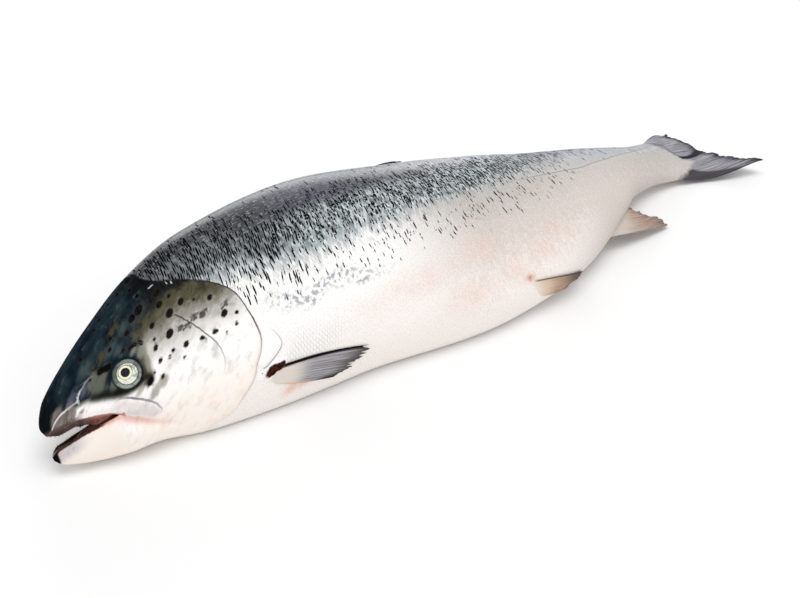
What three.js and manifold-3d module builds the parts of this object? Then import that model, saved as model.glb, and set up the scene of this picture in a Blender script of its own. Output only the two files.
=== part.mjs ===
// A whole raw Atlantic salmon, uncut, lying on its right side with its mouth a little open.
//
// The fish is first modelled straight, in its own coordinates:
//   along  distance from the snout tip towards the tail
//   out    sideways, + towards the left flank
//   up     towards the back, - towards the belly
// It is then laid down: the body rolls and bends a little along its length, the tail fin
// flattens out, and whatever would sink into the table is cut off as a flat contact patch.
// In the finished part +X runs from head to tail, the back points to +Y, the left flank
// faces up, and the origin is the middle of the bounding box's bottom. Millimetres.

import * as THREE from 'three';
import { ParametricGeometry } from 'three/addons/geometries/ParametricGeometry.js';
import { mergeVertices } from 'three/addons/utils/BufferGeometryUtils.js';
import Module from 'manifold-3d';

const wasm = await Module();
wasm.setup();

// ---------------------------------------------------------------- driving dimensions

// Cross-sections: distance from the snout, height of the back above the midline, depth of
// the belly below it, and half the width.
const SECTIONS = [
  [1.5, 9, 7.5, 7.5],      // snout tip
  [24, 27, 20, 19.5],      // nostril
  [60, 49.5, 39, 32],      // eye
  [104, 71, 60, 40],       // cheek
  [160, 84, 73.5, 43.5],   // rear edge of the gill cover
  [256, 92.5, 82.5, 47.5], // thickest
  [360, 87, 92.5, 46.5],   // deepest, under the dorsal fin
  [420, 80.3, 89, 43],     // pelvic fins
  [480, 72, 77.5, 37.5],   // vent
  [576, 51, 45, 26],       // anal fin
  [616, 41, 28, 20.5],     // wrist, behind the anal fin
  [660, 30.5, 22.5, 14.5], // narrowest
  [700, 28.5, 27, 8.5],    // tail root
  [724, 26, 25, 1.2],      // end of the flesh, inside the tail fin
];
const SECTION_POWER = 2.15;  // 2 would be an ellipse, more is boxier
const SNOUT_ROUND = 11;      // length over which the snout tip is rounded off

// How the fish lies: height of the midline over the table, roll of the back upwards in
// degrees, and the midline's sideways shift.
const POSTURE = [
  [0, 31.5, 54.5, -5],
  [104, 38.5, 49.5, 1],
  [160, 45, 43, 4],
  [256, 49, 35.5, 4],
  [360, 46.5, 25, 0],
  [480, 39, 17.5, -1.5],
  [576, 30.5, 17, 7],
  [704, 16, 20, 14.5],
  [775, 8, -6, 15],
  [820, 8, -6, 15],
];

// Mouth, in (along, up): the upper lip and the lower lip, open, meeting at the corner.
const UPPER_LIP = [[2, -5.4], [14, -4.4], [24, -4.8], [34, -7.6], [44, -11.8], [47.5, -14.6]];
const LOWER_LIP = [[43, -14.9], [31, -15.6], [19.4, -16.2], [7.3, -17.8], [3.5, -19.2]];

// Lower jaw: distance from the snout, lip height, chin height, half the width.
const JAW = [
  [1.5, -21, -23.5, 0.6],
  [5, -18.2, -28, 4.6],
  [14, -16.5, -33, 9.4],
  [30, -15.2, -39.2, 15.5],
  [48, -14, -44.2, 20.5],
  [68, -24, -49.4, 26],
  [98, -30, -57, 33],
  [118, -38, -54, 22],
];
const MOUTH_WALL = 3.5;      // flesh left outside the mouth's hollow
const HOLLOW_START = 7;
const HOLLOW_END = 68;
const PALATE_RISE = 6;       // hollow above the upper lip
const FLOOR_DIP = 7;         // hollow below the lower lip
const GAPE_FRONT = 8;        // the gap between the lips starts this far before the snout
const GAPE_REACH = 50;       // and reaches this far to each side

// Eyeball: a flattened ball that stands out of the skin.
const EYE = { along: 62.3, degrees: 81.5, radius: 11.2, flatness: 0.55, stands_out: 2.2 };

// Fins in the middle plane. Outlines in (along, up), from the front edge to the back edge.
const MIDDLE_FINS = [
  { // dorsal fin, folded back along the body
    root: [[322, 84], [404, 78]],
    margin: [[388, 103], [404, 100.5], [418, 93], [430, 83.5]],
    bow: [2, 0],
    lean: -8.5,
    thickness: 2.4,
    columns: 8,
    rows: 4,
  },
  { // adipose fin
    root: [[590, 40], [608, 36]],
    margin: [[610, 52], [618, 51], [619, 44]],
    bow: [2, 0],
    lean: -8,
    thickness: 3,
    columns: 6,
    rows: 4,
  },
  { // anal fin, folded back
    root: [[522, -60], [586, -35]],
    margin: [[614, -75], [610, -62], [595, -50], [590, -42]],
    bow: [-2, 0],
    thickness: 2.4,
    columns: 8,
    rows: 4,
  },
  { // tail fin
    root: [[688, 27.5], [704, 0], [690, -25.5]],
    margin: [[783, 63], [775, 36], [768, 6], [769, -12], [781, -35], [791, -63]],
    bow: [-1, -2],
    thickness: 2.6,
    columns: 16,
    rows: 7,
  },
];

// Fins and plates against the skin. Outlines in (along, degrees round from the back).
const SKIN_PLATES = [
  { // pectoral fin, pressed back along the belly
    root: [[150, 126], [157, 137]],
    margin: [[244, 143.5], [237, 150], [228, 152], [222, 156], [210, 157], [197, 152]],
    bow: [-3, 2],
    lift: 0.7,
    thickness: 2.8,
    columns: 10,
    rows: 5,
    sides: [1],
  },
  { // pelvic fin, pressed back along the belly
    root: [[402, 150], [412, 170]],
    margin: [[470, 177], [468, 184], [456, 188], [440, 184]],
    bow: [-3, 0],
    lift: 0.7,
    thickness: 2.8,
    columns: 8,
    rows: 4,
    sides: [1],
  },
  { // gill cover
    root: [[112, 62], [108, 90], [104, 118], [96, 146]],
    margin: [[137, 62], [148, 70], [157, 79], [160, 89], [161, 98], [155, 114], [143, 128], [122, 147]],
    lift: -0.4,
    thickness: 4,
    columns: 12,
    rows: 5,
    sides: [1, -1],
  },
  { // maxilla, the plate over the corner of the mouth
    root: [[38, 103], [40, 112]],
    margin: [[68, 112], [75, 121], [75, 128], [66, 131]],
    bow: [-2, 3],
    lift: -0.4,
    thickness: 3.6,
    columns: 6,
    rows: 5,
    sides: [1, -1],
  },
];

const SKIN_SPAN = 44;        // steps along the body
const SKIN_ROUND = 30;       // steps round it
const JAW_SPAN = 12;
const JAW_ROUND = 18;

// ---------------------------------------------------------------- curves and sections

// Cubic curve through the rows of a table: the value of one column at a place in the first.
function read(table, column, at) {
  const last = table.length - 1;
  let i = 0;
  while (i < last - 1 && at > table[i + 1][0]) i += 1;
  const slope = (k) => {
    const before = table[Math.max(k - 1, 0)];
    const after = table[Math.min(k + 1, last)];
    return (after[column] - before[column]) / (after[0] - before[0]);
  };
  const step = table[i + 1][0] - table[i][0];
  const t = THREE.MathUtils.clamp((at - table[i][0]) / step, 0, 1);
  const rise = t * t * (3 - 2 * t);
  return table[i][column] * (1 - rise) + table[i + 1][column] * rise
    + step * t * (1 - t) * ((1 - t) * slope(i) - t * slope(i + 1));
}

const signedPower = (value, power) => Math.sign(value) * Math.abs(value) ** power;

// A point of the skin: angle 0 is the back, 90 degrees the left flank, 180 the belly.
// grow pushes it outwards. Returned as (along, out, up).
function skin(along, degrees, grow = 0) {
  const near = THREE.MathUtils.clamp((along - SECTIONS[0][0]) / SNOUT_ROUND, 0, 1);
  const round = Math.sqrt(1 - (1 - near) ** 2);
  const angle = THREE.MathUtils.degToRad(degrees);
  const reach = signedPower(Math.cos(angle), 2 / SECTION_POWER);
  const width = signedPower(Math.sin(angle), 2 / SECTION_POWER);
  const height = read(SECTIONS, reach > 0 ? 1 : 2, along) * round + grow;
  const half = read(SECTIONS, 3, along) * round + grow;
  return new THREE.Vector3(along, half * width, height * reach);
}

// The straight fish laid down: (along, out, up) becomes (x, y, z) on the table.
function lay(point) {
  const [rise, roll, aside] = [1, 2, 3].map((column) => read(POSTURE, column, point.x));
  const angle = THREE.MathUtils.degToRad(roll);
  const bend = Math.atan(read(POSTURE, 3, point.x + 1) - aside);
  const away = point.z * Math.cos(angle) - point.y * Math.sin(angle);
  return new THREE.Vector3(
    point.x - away * Math.sin(bend),
    aside + away * Math.cos(bend),
    rise + point.y * Math.cos(angle) + point.z * Math.sin(angle),
  );
}

// ---------------------------------------------------------------- solids

// A closed three.js geometry becomes a solid that can be joined and cut.
function solid(geometry) {
  const bare = geometry.clone();
  bare.deleteAttribute('normal');
  bare.deleteAttribute('uv');
  const merged = mergeVertices(bare, 1e-3);
  const index = merged.index.array;
  const faces = [];
  for (let i = 0; i < index.length; i += 3) {
    const [a, b, c] = [index[i], index[i + 1], index[i + 2]];
    if (a !== b && b !== c && c !== a) faces.push(a, b, c);
  }
  const made = new wasm.Manifold(new wasm.Mesh({
    numProp: 3,
    vertProperties: new Float32Array(merged.attributes.position.array),
    triVerts: new Uint32Array(faces),
  }));
  if (made.volume() > 0) return made;
  const turned = [];
  for (let i = 0; i < faces.length; i += 3) turned.push(faces[i], faces[i + 2], faces[i + 1]);
  return new wasm.Manifold(new wasm.Mesh({
    numProp: 3,
    vertProperties: new Float32Array(merged.attributes.position.array),
    triVerts: new Uint32Array(turned),
  }));
}

function geometryOf(manifold) {
  const mesh = manifold.getMesh();
  const geometry = new THREE.BufferGeometry();
  geometry.setAttribute('position', new THREE.BufferAttribute(mesh.vertProperties, 3));
  geometry.setIndex(new THREE.BufferAttribute(mesh.triVerts, 1));
  return geometry;
}

// A closed loft: place(turn, share) gives a point, turn 0..1 round the ring and share 0..1
// along it. The first and last rings are closed to a point.
function loft(place, round, span) {
  return solid(new ParametricGeometry((turn, share, target) => {
    const ends = share < 1e-6 || share > 1 - 1e-6;
    target.copy(place(ends ? 0 : turn % 1, share));
    if (ends) target.copy(place(0, share).add(place(0.5, share)).multiplyScalar(0.5));
  }, round, span));
}

// A thin blade, thickest in the middle and closed along its edge. place(across, out, off)
// gives a point: across 0..1 from its front to its back, out 0..1 from its root to its
// margin, and off to either side of it.
function blade(place, thickness, columns, rows) {
  return solid(new ParametricGeometry((across, turn, target) => {
    const side = turn <= 0.5 ? 1 : -1;
    const out = turn <= 0.5 ? 2 * turn : 2 - 2 * turn;
    const middle = (1 - (2 * across - 1) ** 6) * (1 - (2 * out - 1) ** 6);
    target.copy(place(across, out, (side * middle * thickness) / 2));
  }, columns, 2 * rows));
}

// ---------------------------------------------------------------- body and head

// Steps along the body lie closest together at the snout.
function makeBody() {
  const first = SECTIONS[0][0];
  const last = SECTIONS.at(-1)[0];
  return loft((turn, share) => {
    const along = first + (last - first) * share ** 1.3;
    return skin(along, 360 * turn);
  }, SKIN_ROUND, SKIN_SPAN);
}

// The lower jaw is flat on top, where its lips are, and round below.
function makeJaw() {
  const first = JAW[0][0];
  const last = JAW.at(-1)[0];
  return loft((turn, share) => {
    const along = first + (last - first) * share ** 1.3;
    const [lip, chin, half] = [1, 2, 3].map((column) => read(JAW, column, along));
    const angle = 2 * Math.PI * turn;
    const depth = Math.max(0, -signedPower(Math.cos(angle), 0.9));
    return new THREE.Vector3(along, half * signedPower(Math.sin(angle), 0.8), lip + (chin - lip) * depth);
  }, JAW_ROUND, JAW_SPAN);
}

// The gap between the lips, right across the head.
function makeGape() {
  const corners = (points) => points.map((point) => new THREE.Vector2(...point));
  const outline = new THREE.Shape();
  outline.moveTo(-GAPE_FRONT, UPPER_LIP[0][1]);
  outline.lineTo(...UPPER_LIP[0]);
  outline.splineThru(corners(UPPER_LIP.slice(1)));
  outline.splineThru(corners(LOWER_LIP));
  outline.lineTo(-GAPE_FRONT, LOWER_LIP.at(-1)[1]);
  const gape = new THREE.ExtrudeGeometry(outline, {
    depth: 2 * GAPE_REACH,
    bevelEnabled: false,
    curveSegments: 10,
  });
  gape.translate(0, 0, -GAPE_REACH);
  gape.rotateX(Math.PI / 2);
  return solid(gape);
}

// The hollow of the mouth, inside the lips and back to the throat.
function makeHollow() {
  const lips = [UPPER_LIP, [...LOWER_LIP].reverse()];
  return loft((turn, share) => {
    const along = HOLLOW_START + (HOLLOW_END - HOLLOW_START) * share;
    const swell = Math.sqrt(Math.sin(Math.PI * share));
    const [roof, floor] = lips.map((lip) => read(lip, 1, along));
    const top = roof + PALATE_RISE * swell;
    const bottom = floor - FLOOR_DIP * swell;
    const half = (read(JAW, 3, along) - MOUTH_WALL) * swell;
    const angle = 2 * Math.PI * turn;
    return new THREE.Vector3(
      along,
      half * Math.sin(angle),
      (top + bottom) / 2 + ((top - bottom) / 2) * Math.cos(angle),
    );
  }, JAW_ROUND, JAW_SPAN);
}

// The direction that the skin faces.
function outward(along, degrees) {
  const back = skin(along + 1, degrees).sub(skin(along - 1, degrees));
  const round = skin(along, degrees + 1).sub(skin(along, degrees - 1));
  return back.cross(round).normalize();
}

function makeEye(side) {
  const facing = outward(EYE.along, EYE.degrees * side);
  const middle = skin(EYE.along, EYE.degrees * side);
  middle.addScaledVector(facing, EYE.stands_out - EYE.radius * EYE.flatness);
  const ball = new THREE.SphereGeometry(EYE.radius, 18, 12);
  ball.scale(1, EYE.flatness, 1);
  ball.applyQuaternion(new THREE.Quaternion().setFromUnitVectors(new THREE.Vector3(0, 1, 0), facing));
  ball.translate(middle.x, middle.y, middle.z);
  return solid(ball);
}

// ---------------------------------------------------------------- fins, gill covers, lips

// The point of a blade's outline: across from its front edge to its back edge, out from
// its root to its margin. bow swells the front and back edges.
function fan({ root, margin, bow = [0, 0] }) {
  const curve = (points) => new THREE.SplineCurve(points.map((point) => new THREE.Vector2(...point)));
  const [start, end] = [curve(root), curve(margin)];
  return (across, out) => {
    const point = start.getPoint(across).lerp(end.getPoint(across), out);
    const swell = Math.sin(Math.PI * out);
    point.y += swell * THREE.MathUtils.lerp(bow[0], bow[1], across);
    return point;
  };
}

// A fin that stands in the fish's middle plane. Its outline is in (along, up).
function makeMiddleFin(fin) {
  const outline = fan(fin);
  return blade((across, out, off) => {
    const point = outline(across, out);
    return new THREE.Vector3(point.x, off + (fin.lean ?? 0) * out ** 2, point.y);
  }, fin.thickness, fin.columns, fin.rows);
}

// A fin or plate that lies against the skin. Its outline is in (along, degrees), and side
// is 1 on the left flank and -1 on the right.
function makeSkinPlate(plate, side) {
  const outline = fan(plate);
  return blade((across, out, off) => {
    const point = outline(across, out);
    return skin(point.x, point.y * side, plate.lift * Math.min(1, out * 3) + off * side);
  }, plate.thickness, plate.columns, plate.rows);
}

const straightFish = [
  makeJaw(),
  ...MIDDLE_FINS.map(makeMiddleFin),
  ...SKIN_PLATES.flatMap((plate) => plate.sides.map((side) => makeSkinPlate(plate, side))),
].reduce((whole, piece) => whole.add(piece), makeBody())
  .subtract(makeGape())
  .subtract(makeHollow())
  .add(makeEye(1))
  .add(makeEye(-1));

// ---------------------------------------------------------------- laid on the table

// Bends a solid, point by point.
function bent(manifold) {
  const geometry = geometryOf(manifold);
  const place = geometry.attributes.position;
  const point = new THREE.Vector3();
  for (let i = 0; i < place.count; i += 1) {
    point.fromBufferAttribute(place, i);
    place.setXYZ(i, ...lay(point).toArray());
  }
  return solid(geometry);
}

function makeTable() {
  const table = new THREE.BoxGeometry(1200, 600, 100);
  table.translate(400, 0, -50);
  return solid(table);
}

// The largest body of a cut solid, without any scraps.
function largest(manifold) {
  return manifold.decompose().sort((a, b) => b.volume() - a.volume())[0];
}

const fishGeometry = geometryOf(largest(bent(straightFish).subtract(makeTable())));
fishGeometry.computeBoundingBox();
const centre = fishGeometry.boundingBox.getCenter(new THREE.Vector3());
fishGeometry.translate(-centre.x, -centre.y, 0);
fishGeometry.computeVertexNormals();

const skinMaterial = new THREE.MeshStandardMaterial({
  color: 0xb9bab8,
  roughness: 0.35,
  metalness: 0.1,
});
const fish = new THREE.Mesh(fishGeometry, skinMaterial);
fish.name = 'salmon';

const part = new THREE.Group();
part.add(fish);

export default part;
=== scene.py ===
# %% [markdown]
# # A whole raw salmon, lying on its side
#
# A fish is a good first lesson in organic modelling, because nearly everything on it
# follows from a few rules. The body is a row of egg-shaped sections. The scales, marks and
# colours follow two directions: along the fish, and round it from the back to the belly.
#
# So every piece here is first made on a straight fish, in its own coordinates (along, out,
# up) in millimetres. One function then lays the piece on the table, where the real body is
# rolled and bent a little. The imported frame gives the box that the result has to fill.

# %% The frame
import math

import bmesh
import bpy
import numpy as np
from mathutils import Matrix, Vector


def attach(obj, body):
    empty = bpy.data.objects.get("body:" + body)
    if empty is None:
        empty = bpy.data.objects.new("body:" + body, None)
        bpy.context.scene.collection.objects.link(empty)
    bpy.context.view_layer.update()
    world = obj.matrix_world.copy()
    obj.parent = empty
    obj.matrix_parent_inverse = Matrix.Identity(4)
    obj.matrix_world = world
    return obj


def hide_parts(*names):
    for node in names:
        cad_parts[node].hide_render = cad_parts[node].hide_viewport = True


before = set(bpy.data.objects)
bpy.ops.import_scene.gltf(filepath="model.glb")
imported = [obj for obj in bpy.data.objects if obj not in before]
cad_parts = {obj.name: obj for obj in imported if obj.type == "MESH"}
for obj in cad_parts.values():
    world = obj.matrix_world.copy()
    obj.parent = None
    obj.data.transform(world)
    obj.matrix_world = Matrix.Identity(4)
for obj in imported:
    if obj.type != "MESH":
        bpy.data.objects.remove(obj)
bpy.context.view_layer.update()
BODY = "root"
NODE = "salmon"

# %% [markdown]
# ## The straight fish
#
# A section is given by the height of the back over the midline, the depth of the belly
# under it and half the width, at a few places from the snout to the tail. A smooth curve
# through those numbers gives every section in between. A superellipse, a little boxier
# than an ellipse, is close to the real cut through a salmon.

# %% Sections and posture
SECTIONS = np.array([
    # along, above, below, half width
    [1.5, 9, 7.5, 7.5],
    [24, 27, 20, 19.5],
    [60, 49.5, 39, 32],
    [104, 71, 60, 40],
    [160, 84, 73.5, 43.5],
    [256, 92.5, 82.5, 47.5],
    [360, 87, 92.5, 46.5],
    [420, 80.3, 89, 43],
    [480, 72, 77.5, 37.5],
    [576, 51, 45, 26],
    [616, 41, 28, 20.5],
    [660, 30.5, 22.5, 14.5],
    [700, 28.5, 27, 8.5],
    [724, 26, 25, 1.2],
])
SECTION_POWER = 2.15
SNOUT_ROUND = 11
SNOUT, TAIL_END = SECTIONS[0, 0], SECTIONS[-1, 0]

POSTURE = np.array([
    # along, rise of the midline, roll in degrees, sideways shift
    [0, 31.5, 54.5, -5],
    [104, 38.5, 49.5, 1],
    [160, 45, 43, 4],
    [256, 49, 35.5, 4],
    [360, 46.5, 25, 0],
    [480, 39, 17.5, -1.5],
    [576, 30.5, 17, 7],
    [704, 16, 20, 14.5],
    [775, 8, -6, 15],
    [820, 8, -6, 15],
])
MIDDLE = np.array([-396.24, -4.27, 0.0])  # moves the laid fish to the frame's origin
MM = 0.001
SKIN_PRESS = 1.6                           # how softly flesh flattens on the table
print("thickest section is", round(2 * SECTIONS[:, 3].max()), "mm across")


# %% Curves, sections and laying down
def curve(table, column, at):
    """Smooth curve through the rows of a table."""
    at = np.asarray(at, float)
    x, y = table[:, 0], table[:, column]
    slope = np.empty(len(x))
    slope[1:-1] = (y[2:] - y[:-2]) / (x[2:] - x[:-2])
    slope[0] = (y[1] - y[0]) / (x[1] - x[0])
    slope[-1] = (y[-1] - y[-2]) / (x[-1] - x[-2])
    i = np.clip(np.searchsorted(x, at) - 1, 0, len(x) - 2)
    step = x[i + 1] - x[i]
    t = np.clip((at - x[i]) / step, 0, 1)
    rise = t * t * (3 - 2 * t)
    bulge = step * t * (1 - t) * ((1 - t) * slope[i] - t * slope[i + 1])
    return y[i] * (1 - rise) + y[i + 1] * rise + bulge


def smooth(low, high, value):
    """A soft step from 0 at low to 1 at high."""
    t = np.clip((value - low) / (high - low), 0, 1)
    return t * t * (3 - 2 * t)


def signed_power(value, power):
    return np.sign(value) * np.abs(value) ** power


def snout_round(along):
    """The sections shrink to a point in a round nose."""
    near = np.clip((np.asarray(along, float) - SNOUT) / SNOUT_ROUND, 0, 1)
    return np.sqrt(1 - (1 - near) ** 2)


def flank(along, degrees):
    """A point of the plain skin: 0 degrees is the back, 90 the left flank, 180 the belly."""
    along, degrees = np.broadcast_arrays(np.asarray(along, float), np.asarray(degrees, float))
    angle = np.radians(degrees)
    reach = signed_power(np.cos(angle), 2 / SECTION_POWER)
    width = signed_power(np.sin(angle), 2 / SECTION_POWER)
    height = np.where(reach > 0, curve(SECTIONS, 1, along), curve(SECTIONS, 2, along))
    rounding = snout_round(along)
    half = curve(SECTIONS, 3, along)
    return np.stack([along, half * rounding * width, height * rounding * reach], -1)


def flank_out(along, degrees):
    """The outward direction of the plain skin."""
    ahead = flank(np.add(along, 0.5), degrees) - flank(np.subtract(along, 0.5), degrees)
    turn = flank(along, np.add(degrees, 0.5)) - flank(along, np.subtract(degrees, 0.5))
    normal = np.cross(ahead, turn)
    return normal / np.linalg.norm(normal, axis=-1, keepdims=True)


def lay(points):
    """The straight fish laid down on the table, in the frame's millimetres."""
    along, out, up = np.moveaxis(np.asarray(points, float), -1, 0)
    rise, roll, aside = (curve(POSTURE, column, along) for column in (1, 2, 3))
    angle = np.radians(roll)
    bend = np.arctan(curve(POSTURE, 3, along + 1) - aside)
    away = up * np.cos(angle) - out * np.sin(angle)
    height = rise + out * np.cos(angle) + up * np.sin(angle)
    pressed = (height + np.sqrt(height ** 2 + SKIN_PRESS ** 2)) / 2
    place = [along - away * np.sin(bend), aside + away * np.cos(bend), pressed]
    return np.stack(place, -1) + MIDDLE


print("mid-flank lies", lay(flank(256, 90)).round(), "mm from the origin")

# %% [markdown]
# ## Unrolling the skin
#
# Marks are easiest to place on a flat map of the skin: the distance along the fish and the
# distance round it, measured from the ridge of the back. The two flanks are mirror images,
# so one map serves both, and nothing breaks at the back or the belly.

# %% The map of the skin
MAP_DEGREES = np.linspace(0, 180, 181)
MAP_ALONG = np.linspace(SNOUT, TAIL_END, 362)
MAP_RINGS = flank(MAP_ALONG[:, None], MAP_DEGREES)
MAP_STEPS = np.linalg.norm(np.diff(MAP_RINGS, axis=1), axis=-1)
MAP_ROUND = np.concatenate([np.zeros((len(MAP_ALONG), 1)), np.cumsum(MAP_STEPS, 1)], 1)


def round_from_back(along, degrees):
    """Distance round from the back, in mm, of a place given in degrees."""
    along, degrees = np.broadcast_arrays(np.asarray(along, float), np.asarray(degrees, float))
    row = (along - MAP_ALONG[0]) / (MAP_ALONG[1] - MAP_ALONG[0])
    row = np.clip(row, 0, len(MAP_ALONG) - 1.001)
    column = np.clip(np.abs(degrees), 0, 179.999)
    r, c = row.astype(int), column.astype(int)
    fr, fc = row - r, column - c
    top = MAP_ROUND[r, c] * (1 - fc) + MAP_ROUND[r, c + 1] * fc
    low = MAP_ROUND[r + 1, c] * (1 - fc) + MAP_ROUND[r + 1, c + 1] * fc
    return top * (1 - fr) + low * fr


def on_map(places):
    """Places in (along, degrees) as points of the flat map."""
    places = np.asarray(places, float)
    return np.stack([places[:, 0], round_from_back(places[:, 0], places[:, 1])], -1)


print("the skin is", round(2 * MAP_ROUND.max()), "mm round at its deepest")


# %% Lines, outlines and patches on the map
def spline(points, at):
    """Catmull-Rom curve through points, at from 0 to 1."""
    points = np.asarray(points, float)
    last = len(points) - 1
    place = np.clip(np.asarray(at, float), 0, 1) * last
    i = np.clip(place.astype(int), 0, last - 1)
    t = (place - i)[..., None]
    p0, p1 = points[np.maximum(i - 1, 0)], points[i]
    p2, p3 = points[i + 1], points[np.minimum(i + 2, last)]
    v0, v1 = (p2 - p0) * 0.5, (p3 - p1) * 0.5
    return ((2 * p1 - 2 * p2 + v0 + v1) * t ** 3
            + (-3 * p1 + 3 * p2 - 2 * v0 - v1) * t ** 2 + v0 * t + p1)


def smooth_line(places, count=80):
    """A smooth line on the map through places in (along, degrees)."""
    return spline(on_map(places), np.linspace(0, 1, count))


def distance_to(line, points):
    """Distance of each point from a line, and how far along the line that is, 0 to 1."""
    best, place = np.full(len(points), 1e9), np.zeros(len(points))
    for i, (start, step) in enumerate(zip(line[:-1], np.diff(line, axis=0))):
        t = np.clip(((points - start) @ step) / max(step @ step, 1e-9), 0, 1)
        away = np.linalg.norm(points - start - t[:, None] * step, axis=1)
        place = np.where(away < best, (i + t) / (len(line) - 1), place)
        best = np.minimum(best, away)
    return best, place


def inside(outline, points):
    """True for the points inside a closed outline."""
    x, y = points.T
    odd = np.zeros(len(points), bool)
    for (x0, y0), (x1, y1) in zip(outline, np.roll(outline, -1, axis=0)):
        if abs(y1 - y0) > 1e-9:
            odd ^= ((y0 > y) != (y1 > y)) & (x < (x1 - x0) * (y - y0) / (y1 - y0) + x0)
    return odd


def signed_distance(line, outline, points):
    """Distance from a line, positive inside the outline that it is part of."""
    return distance_to(line, points)[0] * np.where(inside(outline, points), 1, -1)


def side_of(places, closing, points):
    """Signed distance from a smooth line. Closing places say which side is inside."""
    line = smooth_line(places)
    return signed_distance(line, np.vstack([line, on_map(closing)]), points)


def inside_of(places, count, points):
    """Signed distance into a closed outline, given by places on its smooth line."""
    line = smooth_line(places, count)
    return signed_distance(line, line, points)


def along_line(places, points, fade, reach=6.0):
    """A strength that changes along a line, and is 0 further off than its reach."""
    away, place = distance_to(smooth_line(places), points)
    return np.interp(place, *zip(*fade)) * smooth(reach, reach - 2, away)


def near_line(places, points, width, fade=((0, 1), (1, 1))):
    """1 on a line and 0 away from it, with a strength that may change along it."""
    away, place = distance_to(smooth_line(places), points)
    return np.exp(-(away / width) ** 2) * np.interp(place, *zip(*fade))


def patches(spots, points):
    """Soft patches, each (along, degrees, size along, size round)."""
    total = np.zeros(len(points))
    for along, degrees, long, wide in spots:
        off = (points - on_map([(along, degrees)])[0]) / (long, wide)
        total = np.maximum(total, np.exp(-np.sum(off ** 2, axis=1)))
    return total


print("map tools ready")

# %% [markdown]
# ## Landmarks of the head
#
# Every line and patch that an angler would name gets its place here, in (along, degrees):
# the edge of the gill cover, the crescent of the cheek bone, the plate over the corner of
# the mouth, the lips, the eye and the nostrils.

# %% Lines of the head
GILL_EDGE = [(112, 44), (125, 53), (137, 62), (148, 70), (157, 79), (160, 89), (161, 98),
             (160, 107), (155, 114), (149, 120), (143, 128), (132, 137), (122, 147), (108, 156)]
NAPE = [(102, -20), (104, -3), (106, 30), (114, 43), (125, 52), (135, 60), (143, 66)]
CHEEK_LINE = [(110, 69), (115, 76), (120, 83), (124, 89), (127, 94), (128, 101), (127, 107),
              (122, 114)]
MAXILLA_TOP = [(44, 102), (48, 98), (53, 97), (60, 102), (67, 108), (72, 114), (75, 121),
               (73, 125)]
MAXILLA_LOW = [(69, 129), (64, 128), (56, 122), (48, 115), (43, 108)]
MAXILLA = MAXILLA_TOP + MAXILLA_LOW
SNOUT_FOLD = [(42, 64), (37, 64), (30, 70), (27, 76), (22, 78), (18, 78), (13, 81), (9, 90),
              (7, 104)]
DARK_BORDER = [(7, 107), (10, 92), (15, 83), (22, 80), (30, 80), (36, 83), (45, 88), (55, 92),
               (64, 92), (73, 90), (78, 89), (79, 81), (81, 73), (88, 71), (96, 72), (105, 70),
               (114, 67), (124, 68), (135, 70), (148, 72)]
SHOULDER = [(161, 90), (166, 97), (171, 105), (174, 114), (168, 119), (155, 124), (150, 121),
            (155, 114), (160, 107), (161, 98)]
SHOULDER_RIM = SHOULDER + SHOULDER[:1]
MOUTH_CREASE = [(46, 114), (53, 123), (61, 129), (71, 135), (82, 139)]
LATERAL_LINE = [(157, 75), (184, 78), (217, 81), (266, 83), (363, 82), (460, 83), (548, 86),
                (596, 79), (640, 68), (662, 60), (690, 52)]
print(len(GILL_EDGE), "places on the gill cover's edge")

# %% Eye, nostrils, lips and jaw
EYE = {"along": 62.3, "degrees": 81.5, "radius": 10.9}
KNOB = [(159, 128, 7.5, 4.0), (166, 127.5, 6, 3.2)]
NOSTRILS = [(30, 69), (33.5, 66)]

UPPER_LIP = np.array([[1.5, -5.5], [7, -4.6], [14, -4.4], [22, -4.4], [28, -6], [34, -7.6],
                      [39, -9.4], [44, -11.8], [47.5, -14.6]])
LOWER_LIP = np.array([[1.5, -21], [3.5, -19.2], [7.3, -17.8], [12.3, -17], [19.4, -16.2],
                      [25, -15.7], [31, -15.6], [37.5, -15.2], [43, -14.9], [47.5, -14.6]])
JAW = np.array([
    # along, chin height, half width
    [1.5, -23.5, 0.6],
    [5, -28, 4.6],
    [14, -33, 9.4],
    [30, -39.2, 15.5],
    [48, -44.2, 20.5],
    [68, -49.4, 26],
    [98, -57, 33],
])
LIP_BEHIND = np.array([[47.5, 114.2], [53, 122], [61, 129], [71, 134.5], [92, 141], [730, 142]])
CORNER = 47.5
THROAT = 72.0
print("the mouth is", CORNER, "mm long")

# %% [markdown]
# ## The skin as one closed mesh
#
# The skin is a grid: rows along the fish and columns round it. The mouth is the hard part.
# Cutting it out with a boolean would leave ragged edges, so the grid is opened instead. In
# front of the corner of the mouth, the upper columns end at the upper lip and the lower
# columns at the lower lip. The roof and the floor of the mouth are two more grids that
# share those lips, and they close behind the corner. The result has no hole anywhere.

# %% Rows and columns
UPPER_COLUMNS = 98     # from the back to one lip
LOWER_COLUMNS = 40     # from one lip to the middle of the belly
MOUTH_COLUMNS = 24     # from the middle of the mouth to one lip


def row_places():
    """Where the rows lie: close together on the head and wide apart on the body."""
    places = [SNOUT]
    while places[-1] < TAIL_END - 1:
        at = places[-1]
        places.append(at + 0.25 + 0.85 * smooth(1, 12, at) + 2.9 * smooth(180, 240, at))
    places[-1] = TAIL_END
    rows = np.array(places)
    rows[np.argmin(np.abs(rows - CORNER))] = CORNER
    return rows


ROWS = row_places()
CORNER_ROW = int(np.argmin(np.abs(ROWS - CORNER)))
THROAT_ROW = int(np.argmin(np.abs(ROWS - THROAT)))


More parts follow.
